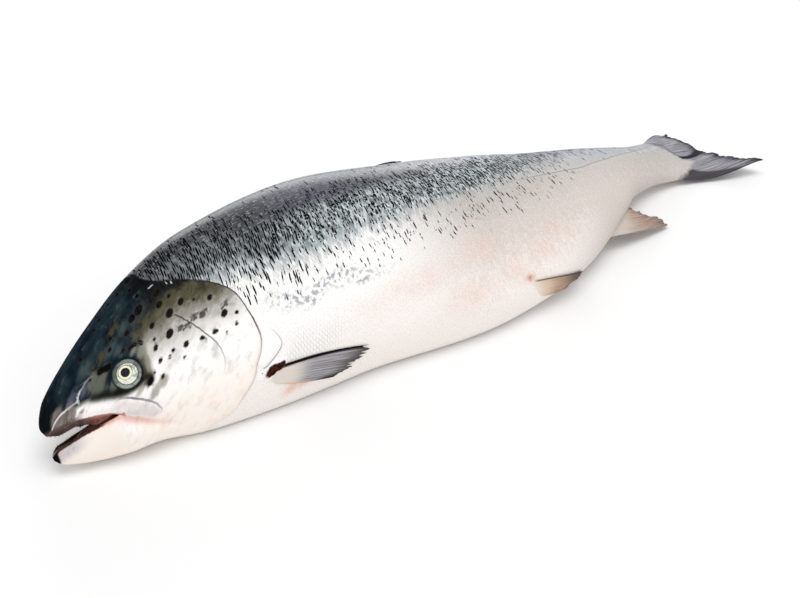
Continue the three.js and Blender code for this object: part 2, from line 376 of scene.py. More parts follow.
def lip_degrees(along):
    """Where the upper columns end, in degrees from the back."""
    depth = curve(SECTIONS, 2, along) * np.maximum(snout_round(along), 0.1)
    share = np.clip(-curve(UPPER_LIP, 1, np.minimum(along, CORNER)) / depth, 0, 0.999)
    lip = np.degrees(np.arccos(-share ** (SECTION_POWER / 2)))
    return np.where(along < CORNER, np.minimum(lip, 172), curve(LIP_BEHIND, 1, along))


LIP_DEGREES = lip_degrees(ROWS)
ACROSS = np.linspace(-1, 1, 2 * UPPER_COLUMNS + 1)[None, :]
BELOW = np.linspace(-1, 1, 2 * LOWER_COLUMNS + 1)[None, :]
UPPER_DEGREES = ACROSS * LIP_DEGREES[:, None]
LOWER_DEGREES = np.sign(BELOW) * (180 - (180 - LIP_DEGREES[:, None]) * np.abs(BELOW))
LOWER_DEGREES[:, LOWER_COLUMNS] = 180
UPPER = flank(ROWS[:, None], UPPER_DEGREES)
print(len(ROWS), "rows, corner of the mouth at row", CORNER_ROW)


# %% The lower skin
def lower_skin():
    """The chin in front, the plain section behind, and a soft change between them."""
    at = ROWS[:, None] + 0 * BELOW
    lip = curve(LOWER_LIP, 1, np.minimum(at, CORNER)) - 0.55 * np.maximum(at - CORNER, 0)
    half = curve(JAW, 2, at) + 5.0 * smooth(26, CORNER, at)
    turn = (1 - np.abs(BELOW)) * math.pi / 2
    jaw = np.stack([at, np.sign(BELOW) * half * np.cos(turn) ** 0.8,
                    lip + (curve(JAW, 1, at) - lip) * np.sin(turn) ** 0.9], -1)
    ring = flank(at, LOWER_DEGREES)
    behind = smooth(CORNER, JAW[-1, 0], at)[..., None]
    lower = jaw * (1 - behind) + ring * behind
    for column, way in ((0, -1), (-1, 1)):
        miss = UPPER[:, column] - lower[:, column]
        miss *= smooth(CORNER - 12, CORNER, ROWS)[:, None] * (ROWS >= CORNER)[:, None]
        lower += miss[:, None, :] * smooth(0.35, 1, way * BELOW)[..., None]
    lower[:, LOWER_COLUMNS, 1] = 0
    return lower


LOWER = lower_skin()
print("upper skin", UPPER.shape[:2], "lower skin", LOWER.shape[:2])


# %% Roof and floor of the mouth
GUM_AT = 0.87          # where the gum ridge runs, as a share of the mouth's half width
UPPER_GUM = np.array([[2, 0], [9, 4.6], [22, 5], [28, 6.2], [33, 7.8], [38, 6], [43, 3],
                      [47, 0], [80, 0]])   # along, how far the toothed ridge hangs, in mm
LOWER_GUM = 1.6
VAULT, BOWL, TONGUE = 4.5, 3.5, 5.5          # height of the roof, floor and tongue, in mm


def mouth_lining():
    """The roof and the floor of the mouth, and how far across it each column lies."""
    rows = ROWS[:THROAT_ROW + 1]
    at = rows[:, None]
    p = np.sin(np.linspace(-1, 1, 2 * MOUTH_COLUMNS + 1) * math.pi / 2)[None, :]
    narrow = np.sqrt(1 - np.clip((at - CORNER) / (THROAT - CORNER), 0, 1) ** 2)
    corner = UPPER[CORNER_ROW, -1]
    seam = corner[2] - 0.5 * np.maximum(at - CORNER, 0)
    in_front = at < CORNER
    side = [np.where(in_front, skin[:len(rows), -1, 1][:, None], corner[1] * narrow)
            for skin in (UPPER, LOWER)]
    lip = [np.where(in_front, skin[:len(rows), -1, 2][:, None], seam)
           for skin in (UPPER, LOWER)]
    arch = 1 - np.abs(p) ** 2.6
    ridge = np.exp(-((np.abs(p) - GUM_AT) / 0.085) ** 2) * (1 - np.abs(p) ** 30)
    hang = np.interp(at, *UPPER_GUM.T)
    gum = smooth(2, 9, at) * narrow * (1 - smooth(38, 50, at))
    vault = VAULT * smooth(2, 26, at) * narrow
    bowl = BOWL * smooth(2, 20, at) * narrow
    tongue = TONGUE * smooth(15, 30, at) * (1 - smooth(50, 70, at)) * np.exp(-(p / 0.4) ** 2)
    flat = at + 0 * p
    roof = np.stack([flat, side[0] * p, lip[0] + vault * arch - hang * ridge], -1)
    bed = lip[1] - bowl * arch + tongue + LOWER_GUM * gum * ridge
    floor = np.stack([flat, side[1] * p, bed], -1)
    return roof, floor, np.broadcast_to(p, flat.shape)


ROOF, FLOOR, MOUTH_ACROSS = mouth_lining()
print("mouth lining", ROOF.shape[:2])

# %% [markdown]
# ## Relief of the skin
#
# The skin isn't a smooth tube. Plates of bone lie under it on the head, and their edges
# show as steps and folds. Each is a small push along the skin's own outward direction,
# worked out from the distance to its landmark line.

# %% Relief
HEAD_RELIEF_END = 220                 # sizes here are heights and depths in mm
BODY_WAVES = 0.35
GILL_LIFT, GILL_DIP = 1.2, 0.9
PLATE_LIFT, PLATE_GROOVE = 1.0, 0.5
SHOULDER_LIFT, SHOULDER_DIP = 0.9, 0.7
SOCKET_DEPTH, LID_LIFT, BROW_LIFT = 3.0, 0.9, 0.8
SNOUT_LIFT, NOSTRIL_DEPTH = 0.5, 1.6
CREASE_DEPTH, BONE_DEPTH, KNOB_LIFT = 0.8, 0.15, 3.0


def map_of(degrees):
    """Every grid point of the given degrees as a point of the map."""
    along = ROWS[:, None] + 0 * degrees
    return np.stack([along.ravel(), round_from_back(along, degrees).ravel()], -1)


UPPER_MAP, LOWER_MAP = map_of(UPPER_DEGREES), map_of(LOWER_DEGREES)
GILL_STRENGTH = ((0, 0), (0.12, 0.25), (0.25, 1), (0.75, 1), (1, 0.35))
EYE_CENTRE = flank(EYE["along"], EYE["degrees"])


def from_eye(positions):
    """Distance from the middle of the nearer eye, in mm."""
    mirrored = positions * (1, 0, 1) + np.abs(positions) * (0, 1, 0)
    return np.linalg.norm(mirrored - EYE_CENTRE, axis=-1)


def relief(points, positions):
    """How far the skin is pushed out, in mm."""
    along, around = points.T
    push = BODY_WAVES * (np.sin(along / 31) * np.sin(around / 23 + 1) - 1)
    push *= smooth(180, 260, along) * (1 - smooth(600, 700, along))
    head = along < HEAD_RELIEF_END
    near = points[head]
    line = smooth_line(GILL_EDGE)
    away, place = distance_to(line, near)
    cover = np.vstack([line, on_map([(85, 158), (92, 100), (100, 50)])])
    edge = away * np.where(inside(cover, near), 1, -1)
    strength = np.interp(place, *zip(*GILL_STRENGTH)) * (1 - smooth(22, 30, away))
    raised = smooth(-0.3, 1.2, edge)
    lift = GILL_LIFT * raised * np.exp(-np.maximum(edge, 0) / 14)
    dip = -GILL_DIP * np.exp(-np.maximum(-edge, 0) / 3.5) * (1 - raised)
    bone = near_line(CHEEK_LINE, near, 0.9, ((0, 1), (0.6, 1), (1, 0.2)))
    plate = inside_of(MAXILLA, 120, near)
    groove = PLATE_GROOVE * np.exp(-((plate + 0.6) / 0.9) ** 2)
    plate = PLATE_LIFT * smooth(0, 2.4, plate) - groove
    ring, radius = from_eye(positions[head]), EYE["radius"]
    socket = -SOCKET_DEPTH * (1 - smooth(radius - 2.4, radius - 0.6, ring))
    lid = LID_LIFT * np.exp(-((ring - radius - 0.6) / 1.1) ** 2)
    snout = SNOUT_LIFT * near_line(SNOUT_FOLD, near, 1.3)
    pits = -NOSTRIL_DEPTH * patches([(a, d, 1.3, 1.3) for a, d in NOSTRILS], near)
    brow = BROW_LIFT * near_line([(46, 62), (56, 62), (66, 66), (73, 73)], near, 2.5)
    fold = inside_of(SHOULDER_RIM, 100, near)
    behind = SHOULDER_DIP * np.exp(-((fold + 1) / 1.3) ** 2)
    fold = SHOULDER_LIFT * smooth(-1.5, 3, fold) - behind
    crease = -CREASE_DEPTH * near_line(MOUTH_CREASE, near, 1.3, ((0, 0.2), (0.2, 1), (1, 0)))
    knob = KNOB_LIFT * patches(KNOB, near)
    push[head] = ((lift + dip) * strength - BONE_DEPTH * bone + plate + socket + lid + snout
                  + pits + brow + fold + crease + knob)
    return push


def outward(grid, sign):
    """The outward direction at each point of a grid."""
    normal = np.cross(np.gradient(grid, axis=0), np.gradient(grid, axis=1)) * sign
    return normal / np.maximum(np.linalg.norm(normal, axis=-1, keepdims=True), 1e-9)


upper_out, lower_out = outward(UPPER, 1), outward(LOWER, -1)
upper_out *= np.sign(np.sum(upper_out[:, UPPER_COLUMNS, 2]))
lower_out *= -np.sign(np.sum(lower_out[:, LOWER_COLUMNS, 2]))
for edge in (0, -1):
    mean = upper_out[CORNER_ROW:, edge] + lower_out[CORNER_ROW:, edge]
    mean /= np.linalg.norm(mean, axis=-1, keepdims=True)
    upper_out[CORNER_ROW:, edge] = lower_out[CORNER_ROW:, edge] = mean
upper_push = relief(UPPER_MAP, UPPER.reshape(-1, 3)).reshape(UPPER.shape[:2] + (1,))
lower_push = relief(LOWER_MAP, LOWER.reshape(-1, 3)).reshape(LOWER.shape[:2] + (1,))
for edge in (0, -1):
    lower_push[CORNER_ROW:, edge] = upper_push[CORNER_ROW:, edge]
UPPER_PUSHED = UPPER + upper_push * upper_out
LOWER_PUSHED = LOWER + lower_push * lower_out
print("relief from", upper_push.min().round(1), "to", upper_push.max().round(1), "mm")

# %% [markdown]
# ## Masks for the paint
#
# The paint has to know where it is on the fish. Each vertex carries a few numbers for
# that: how far it is from a landmark, or how strongly a patch shows. The paint adds noise
# to them, so that no edge looks ruled.

# %% Spots of the head
SPOTS = [
    # along, degrees, radius
    (107, 49, 2.3), (118, 65, 2), (104, 57, 2), (90, 49, 2.9), (83, 50, 2.3), (107, 66, 2.5),
    (92, 65, 1.6), (75, 56, 1.6), (100, 76, 2.5), (142, 85, 2.3), (151, 88, 1.3),
    (147, 92, 1.2), (138, 74, 1.7), (127, 69, 0.9), (113, 57, 1.2),
    (95, 39, 1.3), (87, 17, 1.3), (129, 89, 1.4), (131, 89.5, 1), (137, 93, 0.9),
    (119, 88, 1.4), (121, 90, 0.8), (107, 86, 1.8), (87, 78, 1.6), (97, 85, 1.2), (93, 87, 1),
    (102, 91, 0.9), (86, 86, 1.4), (79, 90, 0.9), (83, 95, 1.2), (74, 94, 2.1), (60, 56, 1.2),
    (67, 65, 1.2), (80, 70, 0.9), (40, 65, 0.9), (42, 36, 1), (60, 23, 1.1), (67, 19, 1.1),
    (64, 48, 1.1), (89, 73, 1), (94, 28, 1.2), (78, 14, 1.1), (99, 15, 2.2), (71, 67, 1),
    (73.5, 67, 1.1), (76, 67.5, 1), (79.5, 68, 0.8), (52, 67, 1.7), (54, 68, 1.6), (49, 66, 1.6),
    (47, 65.5, 1.2),
]


SPOT_STRETCH = (1.25, 1)       # a spot is a little longer than it is tall
NO_SPOT = 30.0


def spot_field(points):
    """Distance outside the nearest spot, in mm; negative inside it."""
    field = np.full(len(points), NO_SPOT)
    for along, degrees, radius in SPOTS:
        off = (points - on_map([(along, degrees)])[0]) / SPOT_STRETCH
        field = np.minimum(field, np.linalg.norm(off, axis=1) - radius)
    return field


print(len(SPOTS), "spots on each side of the head")

# %% Colour patches
HEAD_PATCHES = {
    # along, degrees, size along, size round
    "smudge": [(109, 77, 4.2, 3.0), (113, 78.5, 4.6, 3.2), (121, 77, 5.6, 3.2),
               (128, 78.5, 5.6, 3.2), (146, 81.5, 4.8, 2.6), (150, 70, 5, 3)],
    "olive": [(69, 45, 10, 7), (84, 62, 14, 8), (98, 66, 12, 8), (52, 56, 7, 4), (46, 60, 6, 3),
              (125, 62, 14, 8), (141, 70, 10, 6), (112, 62, 12, 8), (150, 76, 6, 4)],
    "teal": [(40, 50, 9, 5), (62, 55, 9, 5), (74, 50, 8, 5), (64, 62, 6, 4), (92, 50, 8, 5)],
    "snout_blue": [(24, 73, 9, 6), (33, 71, 7, 4), (19, 80, 5, 4)],
    "under_eye": [(43, 76, 8, 6), (48, 71, 7, 4), (41, 68, 6, 4), (52, 84, 5, 4)],
    "behind_eye": [(77, 75, 5, 5), (73, 70, 5, 3), (78, 82, 3, 5)],
    "behind_dark": [(74, 93, 6, 4.5), (72, 87, 3, 5)],
    "behind_grey": [(75, 103, 8, 4), (66, 97, 7, 3), (82, 98, 5, 5)],
    "muzzle": [(10, 97, 6, 8), (18, 92, 7, 6), (14, 105, 6, 4), (22, 104, 6, 3)],
    "cheek_grey": [(96, 88, 14, 7), (112, 80, 8, 5), (118, 90, 7, 6), (136, 82, 6, 5),
                   (124, 98, 4, 9)],
    # painted glints: small pale spots where the wet skin catches the light
    "painted_glints": [(30, 69, 2, 1.5), (28, 73, 1.5, 1.5), (27, 78, 1.5, 2), (106, 42, 3.5, 0.8),
              (120, 51, 0.9, 2.6), (117, 49, 0.8, 2)],
    "orange": [(172, 150, 7, 4), (184, 148.5, 9, 4), (197, 148, 8, 3)],
    "knob": KNOB,
}
BODY_PATCHES = {
    "blush": [(366, 115, 22, 12), (395, 138, 20, 14), (425, 132, 26, 12), (456, 126, 20, 10),
              (300, 118, 60, 14), (345, 140, 30, 16)],
    "mesh": [(190, 122, 14, 10), (205, 126, 20, 9), (178, 126, 8, 6)],
    "red": [(403, 147, 4, 3)],
}
TONE = [(0, 0), (30, 0), (45, 0.06), (58, 0.2), (65, 0.36), (72, 0.56), (80, 0.8), (88, 1),
        (180, 1)]      # how pale the rear of the head is, by degrees from the back
TONE_ROWS = (70, 110, 150)
TAIL_FLESH = [(660, 50), (688, 31), (695, 23), (700, 17.5), (712, 6.8), (721, -2), (729, -8.8),
              (734.7, -13.1), (726, -16.4), (718, -21), (706, -25.6), (694, -27.4), (686, -34)]
TAIL_BAND = [(680, -13), (712, -18), (721, -20.8), (744, -37.6), (768, -54), (792, -62)]
BAND_COLOUR = (62, 58, 60)
DARK_EDGE = np.array([[90, 58], [163, 68], [201, 76], [247, 78], [300, 79], [371, 80],
                      [449, 79], [538, 70], [600, 61], [724, 58]])
MARK_EDGE = np.array([[90, 60], [151, 86], [186, 95], [240, 97], [293, 104], [343, 107],
                      [399, 108], [454, 106], [500, 102], [560, 92], [610, 78], [724, 66]])


REACH = 40.0           # no mask needs a distance greater than this, in mm


def limited(distance):
    """A distance that goes no further than the reach."""
    return np.clip(distance, -REACH, REACH)


def tail_flesh(positions):
    """Signed distance into the scaly flesh of the tail, seen from the side."""
    edge = np.array(TAIL_FLESH, float)
    outline = np.vstack([[(-60, 160), (600, 90)], edge, [(600, -120), (-60, -160)]])
    return limited(signed_distance(edge, outline, positions[:, (0, 2)]))


def tail_band(positions):
    """Signed distance into the dark lower band of the tail."""
    edge = np.array(TAIL_BAND, float)
    outline = np.vstack([edge, [(820, -90), (680, -90)]])
    return limited(signed_distance(edge, outline, positions[:, (0, 2)]))


print(len(HEAD_PATCHES) + len(BODY_PATCHES), "kinds of patches")


# %% All the masks
def head_tone(dark, points):
    """0 on the dark top of the head, 1 on the pale cheek."""
    along, around = points.T
    places = [on_map([(a, d) for a in TONE_ROWS])[:, 1] for d, _ in TONE]
    rows = np.array([np.interp(along, TONE_ROWS, row) for row in places])
    tones = [tone for _, tone in TONE]
    late = 8 * smooth(120, 150, along) * smooth(60, 20, dark)
    rear = np.zeros(len(points))
    for low, high, start, end in zip(rows[:-1], rows[1:], tones[:-1], tones[1:]):
        share = np.clip((around - late - low) / np.maximum(high - low, 1e-6), 0, 1)
        rear = rear + share * (end - start)
    front = smooth(1.5, -3.5, dark)
    behind = smooth(66, 86, along)
    return front * (1 - behind) + rear * behind


def head_masks(points, positions):
    """The masks that only the head and the shoulder need."""
    border = np.vstack([smooth_line(NAPE), smooth_line(GILL_EDGE[3:]), on_map([(92, 179)])])
    head_area = np.vstack([border, [(92, 400), (-40, 400), (-40, -80), (102, -80)]])
    dark_line = smooth_line(DARK_BORDER, 120)
    dark_area = np.vstack([dark_line, [(148, -60), (-40, -60), (-40, 30)]])
    dark = signed_distance(dark_line, dark_area, points)
    gill_fade = ((0, 0), (0.12, 0.5), (0.25, 1), (0.45, 1), (0.6, 0.4), (1, 0.15))
    plate_fade = ((0, 0), (0.2, 0.3), (0.4, 1), (0.75, 0.7), (1, 0.1))
    snout_fade = ((0, 0.1), (0.3, 0.6), (0.5, 0.4), (0.7, 1), (1, 0.9))
    crease = near_line(MOUTH_CREASE, points, 1.5, ((0, 1), (0.5, 0.9), (1, 0.2)))
    throat = near_line(GILL_EDGE[6:], points, 5, ((0, 0.4), (0.3, 1), (1, 0.5)))
    made = {
        "head": signed_distance(border, head_area, points),
        "maxilla": inside_of(MAXILLA, 120, points),
        "shoulder": inside_of(SHOULDER_RIM, 100, points),
        "eye": from_eye(positions),
        "spot": spot_field(points),
        "gill_dark": along_line(GILL_EDGE, points, gill_fade),
        "cheek": side_of(CHEEK_LINE, [(60, 114), (60, 69)], points),
        "cheek_dark": along_line(CHEEK_LINE, points, ((0, 1), (0.5, 0.8), (0.8, 0.4), (1, 0))),
        "plate_dark": along_line(MAXILLA_TOP, points, plate_fade, 3.0),
        "shoulder_dark": along_line(SHOULDER[2:6], points, ((0, 0.3), (0.5, 1), (1, 1)), 3.0),
        "snout_fold": side_of(SNOUT_FOLD, [(-10, 104), (-10, 64)], points),
        # where the pale line of the snout fold shows: partly the lip's pale edge, partly a
        # painted highlight
        "fold_pale_and_highlight": along_line(SNOUT_FOLD, points, snout_fade),
        "under": near_line(DARK_BORDER[5:10] + [(76, 93)], points, 2.2),
        "pink": crease + 0.3 * throat,
        "tone": head_tone(dark, points),
    }
    for name, spots in HEAD_PATCHES.items():
        made[name] = patches(spots, points)
    return made


HEAD_MASKS_END = 230
BEHIND_HEAD = {"head": -REACH, "maxilla": -REACH, "shoulder": -REACH, "eye": REACH,
               "cheek": REACH, "snout_fold": REACH, "spot": NO_SPOT, "tone": 1}


def masks(points, positions):
    """Every number that the skin's paint reads."""
    along, around = points.T
    near = along < HEAD_MASKS_END
    made = {}
    for key, value in head_masks(points[near], positions[near]).items():
        made[key] = np.full(len(points), float(BEHIND_HEAD.get(key, 0)))
        made[key][near] = limited(value)
    lateral = np.interp(along, *np.array(LATERAL_LINE, float).T)
    made["below_dark"] = around - round_from_back(along, curve(DARK_EDGE, 1, along))
    made["below_marks"] = around - round_from_back(along, curve(MARK_EDGE, 1, along))
    made["lateral"] = limited(around - round_from_back(along, lateral))
    made["flesh"] = tail_flesh(positions)
    made["band"] = tail_band(positions)
    for name, spots in BODY_PATCHES.items():
        made[name] = patches(spots, points)
    made["along"], made["around"] = along, around
    return made


def from_lip(grid, lip):
    """Distance above the lip, in mm, in front of the corner of the mouth."""
    height = grid[..., 2] - curve(lip, 1, np.minimum(ROWS, CORNER))[:, None]
    return np.where(ROWS[:, None] < CORNER + 4, height, REACH).ravel()


UPPER_MASKS = masks(UPPER_MAP, UPPER.reshape(-1, 3))
LOWER_MASKS = masks(LOWER_MAP, LOWER.reshape(-1, 3))
UPPER_MASKS["lip"] = np.clip(from_lip(UPPER, UPPER_LIP), -5, REACH)
LOWER_MASKS["lip"] = np.full(LOWER[..., 0].size, REACH)
UPPER_MASKS["jaw"] = np.full(UPPER[..., 0].size, REACH)
LOWER_MASKS["jaw"] = np.clip(np.abs(from_lip(LOWER, LOWER_LIP)), 0, REACH)
print("masks:", ", ".join(UPPER_MASKS))

# %% [markdown]
# ## From grids to a Blender mesh
#
# One helper turns arrays of points and faces into an object. A grid may collapse to a point
# at its ends, so a face that names the same vertex twice loses it, and becomes a triangle.

# %% Mesh helpers
def tidy_faces(faces):
    """Drops repeated corners, and faces that have too few left."""
    kept = []
    for face in faces:
        corners = tuple(v for i, v in enumerate(face) if v != face[i - 1])
        if len(set(corners)) >= 3:
            kept.append(corners)
    return kept


def grid_faces(index):
    """Faces of a grid of vertex numbers."""
    corners = [index[:-1, :-1], index[1:, :-1], index[1:, 1:], index[:-1, 1:]]
    return np.stack(corners, -1).reshape(-1, 4).tolist()


def used_only(points, faces, values):
    """Drops the vertices that no face uses."""
    used = np.zeros(len(points), bool)
    used[[v for face in faces for v in face]] = True
    number = (np.cumsum(used) - 1).tolist()
    faces = [tuple(number[v] for v in face) for face in faces]
    return points[used], faces, {key: array[used] for key, array in values.items()}


def finish_mesh(mesh):
    """Turns every face outward and shades it smooth."""
    work = bmesh.new()
    work.from_mesh(mesh)
    bmesh.ops.recalc_face_normals(work, faces=work.faces)
    work.to_mesh(mesh)
    work.free()
    mesh.polygons.foreach_set("use_smooth", np.ones(len(mesh.polygons), bool))


def add_numbers(mesh, values):
    """Gives every vertex its numbers: one each, or three for a direction."""
    for key, value in values.items():
        value = np.asarray(value, np.float32)
        kind, target = ("FLOAT_VECTOR", "vector") if value.ndim == 2 else ("FLOAT", "value")
        layer = mesh.attributes.new(key, kind, "POINT")
        layer.data.foreach_set(target, value.ravel())


def put_in_scene(name, data):
    """An object at the origin that shows the data."""
    made = bpy.data.objects.new(name, data)
    bpy.context.scene.collection.objects.link(made)
    return made


def mesh_object(name, points, faces, materials, values, parts=None, uv=None):
    """An object from frame millimetres. parts gives each face its material."""
    mesh = bpy.data.meshes.new(name)
    mesh.from_pydata((np.asarray(points) * MM).tolist(), [], faces)
    for material in materials:
        mesh.materials.append(material)
    if parts is not None:
        mesh.polygons.foreach_set("material_index", np.asarray(parts, np.int32))
    add_numbers(mesh, values)
    if uv is not None:
        loops = np.empty(len(mesh.loops), np.int32)
        mesh.loops.foreach_get("vertex_index", loops)
        layer = mesh.uv_layers.new(name="skin_map")
        layer.data.foreach_set("uv", np.asarray(uv, np.float32)[loops].ravel())
    finish_mesh(mesh)
    mesh.update()
    return put_in_scene(name, mesh)


def hand_over(piece):
    """Puts a piece on the body it rides on, and hides the frame's solid that it stands in for."""
    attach(piece, BODY)
    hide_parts(NODE)
    print(piece.name, "has", sum(len(p.vertices) - 2 for p in piece.data.polygons), "triangles")


# %% [markdown]
# ## Paint made of Python expressions
#
# A material is a graph of nodes. Wiring dozens of Math nodes by hand hides the idea behind
# them, so a small class wraps a socket: adding or multiplying two of them makes the Math
# node. Colours are mixed with Mix nodes, since a Math node would turn them grey.

# %% The value class
def maths(operation):
    """A method that feeds a value, and whatever it is given, to a Math node."""
    def method(value, *others):
        return value.paint.node("ShaderNodeMath", {"operation": operation},
                                dict(enumerate((value, *others))))
    return method


class Value:
    """A socket that can be used in arithmetic."""

    __add__ = __radd__ = maths("ADD")
    __mul__ = __rmul__ = maths("MULTIPLY")
    __sub__ = maths("SUBTRACT")
    __truediv__ = maths("DIVIDE")
    most = maths("MAXIMUM")
    size = maths("ABSOLUTE")
    whole = maths("FLOOR")
    part = maths("FRACT")

    def __init__(self, paint, socket):
        self.paint, self.socket = paint, socket

    def __rsub__(self, other):
        return self * -1.0 + other

    def step(self, low, high, start=0.0, end=1.0):
        """A soft step from start at low to end at high."""
        return self.paint.node(
            "ShaderNodeMapRange", {"interpolation_type": "SMOOTHSTEP"},
            {"Value": self, "From Min": low, "From Max": high, "To Min": start, "To Max": end})


# %% The paint class
def linear(colour):
    """Red, green and blue as a painter reads them, 0 to 255, in Blender's linear light."""
    if isinstance(colour, Value):
        return colour
    light = [c / 255 / 12.92 if c <= 10 else ((c / 255 + 0.055) / 1.055) ** 2.4 for c in colour]
    return (*light, 1.0)


class Paint:
    """A material whose nodes are added by expressions."""

    def __init__(self, name):
        self.material = bpy.data.materials.new(name)
        self.material.use_nodes = True
        self.tree = self.material.node_tree
        self.tree.nodes.clear()
        self.shader = self.tree.nodes.new("ShaderNodeBsdfPrincipled")
        output = self.tree.nodes.new("ShaderNodeOutputMaterial")
        self.tree.links.new(self.shader.outputs[0], output.inputs["Surface"])

    def node(self, kind, settings=None, inputs=None, output=0):
        """Any node: its settings first, then the values or links of its sockets."""
        made = self.tree.nodes.new(kind)
        for key, setting in (settings or {}).items():
            setattr(made, key, setting)
        for key, given in (inputs or {}).items():
            self.feed(made.inputs[key], given)
        return Value(self, made.outputs[output])

    def feed(self, socket, given):
        if isinstance(given, Value):
            self.tree.links.new(given.socket, socket)
        else:
            socket.default_value = given

    def field(self, name):
        return self.node("ShaderNodeAttribute", {"attribute_name": name}, output="Fac")

    def vector(self, x=0.0, y=0.0, z=0.0):
        return self.node("ShaderNodeCombineXYZ", {}, {"X": x, "Y": y, "Z": z})

    def place(self):
        return self.node("ShaderNodeTexCoord", output="Object")

    def noise(self, where, scale, detail=3.0, rough=0.55):
        return self.node("ShaderNodeTexNoise", {},
                         {"Vector": where, "Scale": scale, "Detail": detail, "Roughness": rough})

    def chance(self, x, y, z):
        """A random number for each whole-numbered place."""
        return self.node("ShaderNodeTexWhiteNoise", {"noise_dimensions": "3D"},
                         {"Vector": self.vector(x, y, z)}, "Value")

    def chances(self, x, y, z):
        """Three random numbers for each whole-numbered place."""
        colour = self.node("ShaderNodeTexWhiteNoise", {"noise_dimensions": "3D"},
                           {"Vector": self.vector(x, y, z)}, "Color")
        return [self.node("ShaderNodeSeparateColor", {}, {"Color": colour}, name)
                for name in ("Red", "Green", "Blue")]

    def mix(self, first, second, share):
        """Colour first where share is 0 and second where it is 1."""
        return self.node("ShaderNodeMix", {"data_type": "RGBA"},
                         {0: share, 6: linear(first), 7: linear(second)}, 2)

    def over(self, base, *coats):
        """Coats of paint over a base, each a colour and its share, one after another."""
        for colour, share in coats:
            base = self.mix(base, colour, share)
        return base

    def bump(self, height, strength, distance, under=None):
        inputs = {"Height": height, "Strength": strength, "Distance": distance}
        if under is not None:
            inputs["Normal"] = under
        return self.node("ShaderNodeBump", {}, inputs)

    def finish(self, **sockets):
        """Feeds the shader: Base_Color=..., Roughness=..., and so on."""
        for key, given in sockets.items():
            self.feed(self.shader.inputs[key.replace("_", " ")], given)
        return self.material


print("paint class ready")

# %% [markdown]
# ## The scaly skin
#
# Salmon scales overlap like shingles, so what shows of each is a narrow diamond, taller than
# long. Two sets of slanted lines cut the map into such diamonds, and the whole-number parts
# of a place name its scale. That name seeds a random number, so each scale shines a little
# differently. The black marks are pigment between the scales. They run round the fish along
# the slanted lines, and some fork, so that they look like an X or a lambda.

# %% Scales and marks
SCALE = (1.4, 3.3)       # half of a scale's length and of its height, in mm
PIGMENT = (1.2, 4.6)     # the same for the rows in which the pigment lies


class Lattice:
    """Slanted rows on the map of the skin, and what can be drawn on them."""

    def __init__(self, p, along, around, flat, size):
        self.p = p
        u = (along + (p.noise(flat, 30.0, 2.0) - 0.5) * 5.0) / size[0]
        v = (around + (p.noise(flat, 36.0, 2.0) - 0.5) * 8.0) / size[1]
        self.down, self.up = (u + v) * 0.5, (u - v) * 0.5
        self.x, self.y = self.down.part(), self.up.part()
        self.column, self.row = self.down.whole(), self.up.whole()
        self.run_mm = math.hypot(*size)                 # length of a step along a row
        self.side_mm = 2 * size[0] * size[1] / math.hypot(*size)
        self.ragged = (p.noise(flat, 420.0, 2.0) - 0.5) * 1.5
        self.crumbly = (p.noise(flat, 560.0, 2.0) - 0.5) * 1.5

    def luck(self, seed):
        return self.p.chance(self.column, self.row, seed)

    def rim(self):
        """1 in the thin gap behind a scale."""
        return self.x.most(self.y).step(0.74, 0.98)

    def slope(self):
        """Height of the shingle, highest at its free edge."""
        return (self.x + self.y) * 0.5 - self.rim() * 0.5

    def marks(self, long, short, density, width, seed):
        """Flecks of pigment: a slanted stroke, on some forked. Sizes are in mm."""
        side = self.up * (self.side_mm / short) + self.ragged / short
        row = side.whole()
        run = self.down * (self.run_mm / long) + self.p.chance(row, seed, 3.0) * 7.0
        run = run + self.crumbly / long
        first, second, third = self.p.chances(run.whole(), row, seed)
        reach = 0.5 * long * (0.6 + second * 0.4)
        x = (run.part() - 0.5) * long
        y = (side.part() - 0.5) * short + (second - 0.5) * 0.3 * short
        share = x / reach
        stroke = (1 - share * share) * width * (0.6 + third * 0.8) - y.size()
        fork = x - (third - 0.5) * long * 0.5
        bent = (y * 0.55 + fork * 0.83).size()
        far = (x * x + y * y) / (reach * reach)
        branch = (1 - far) * width * 0.8 - bent - second.step(0.42, 0.38) * 9.0
        shown = (density - first).step(0.0, 0.03)
        return shown * stroke.most(branch).step(-0.1, 0.4)


print("a scale shows", [2 * half for half in SCALE], "mm")


# %% The body's colours
SCALE_SCATTER = 16         # how far the bands stray from scale to scale, in mm


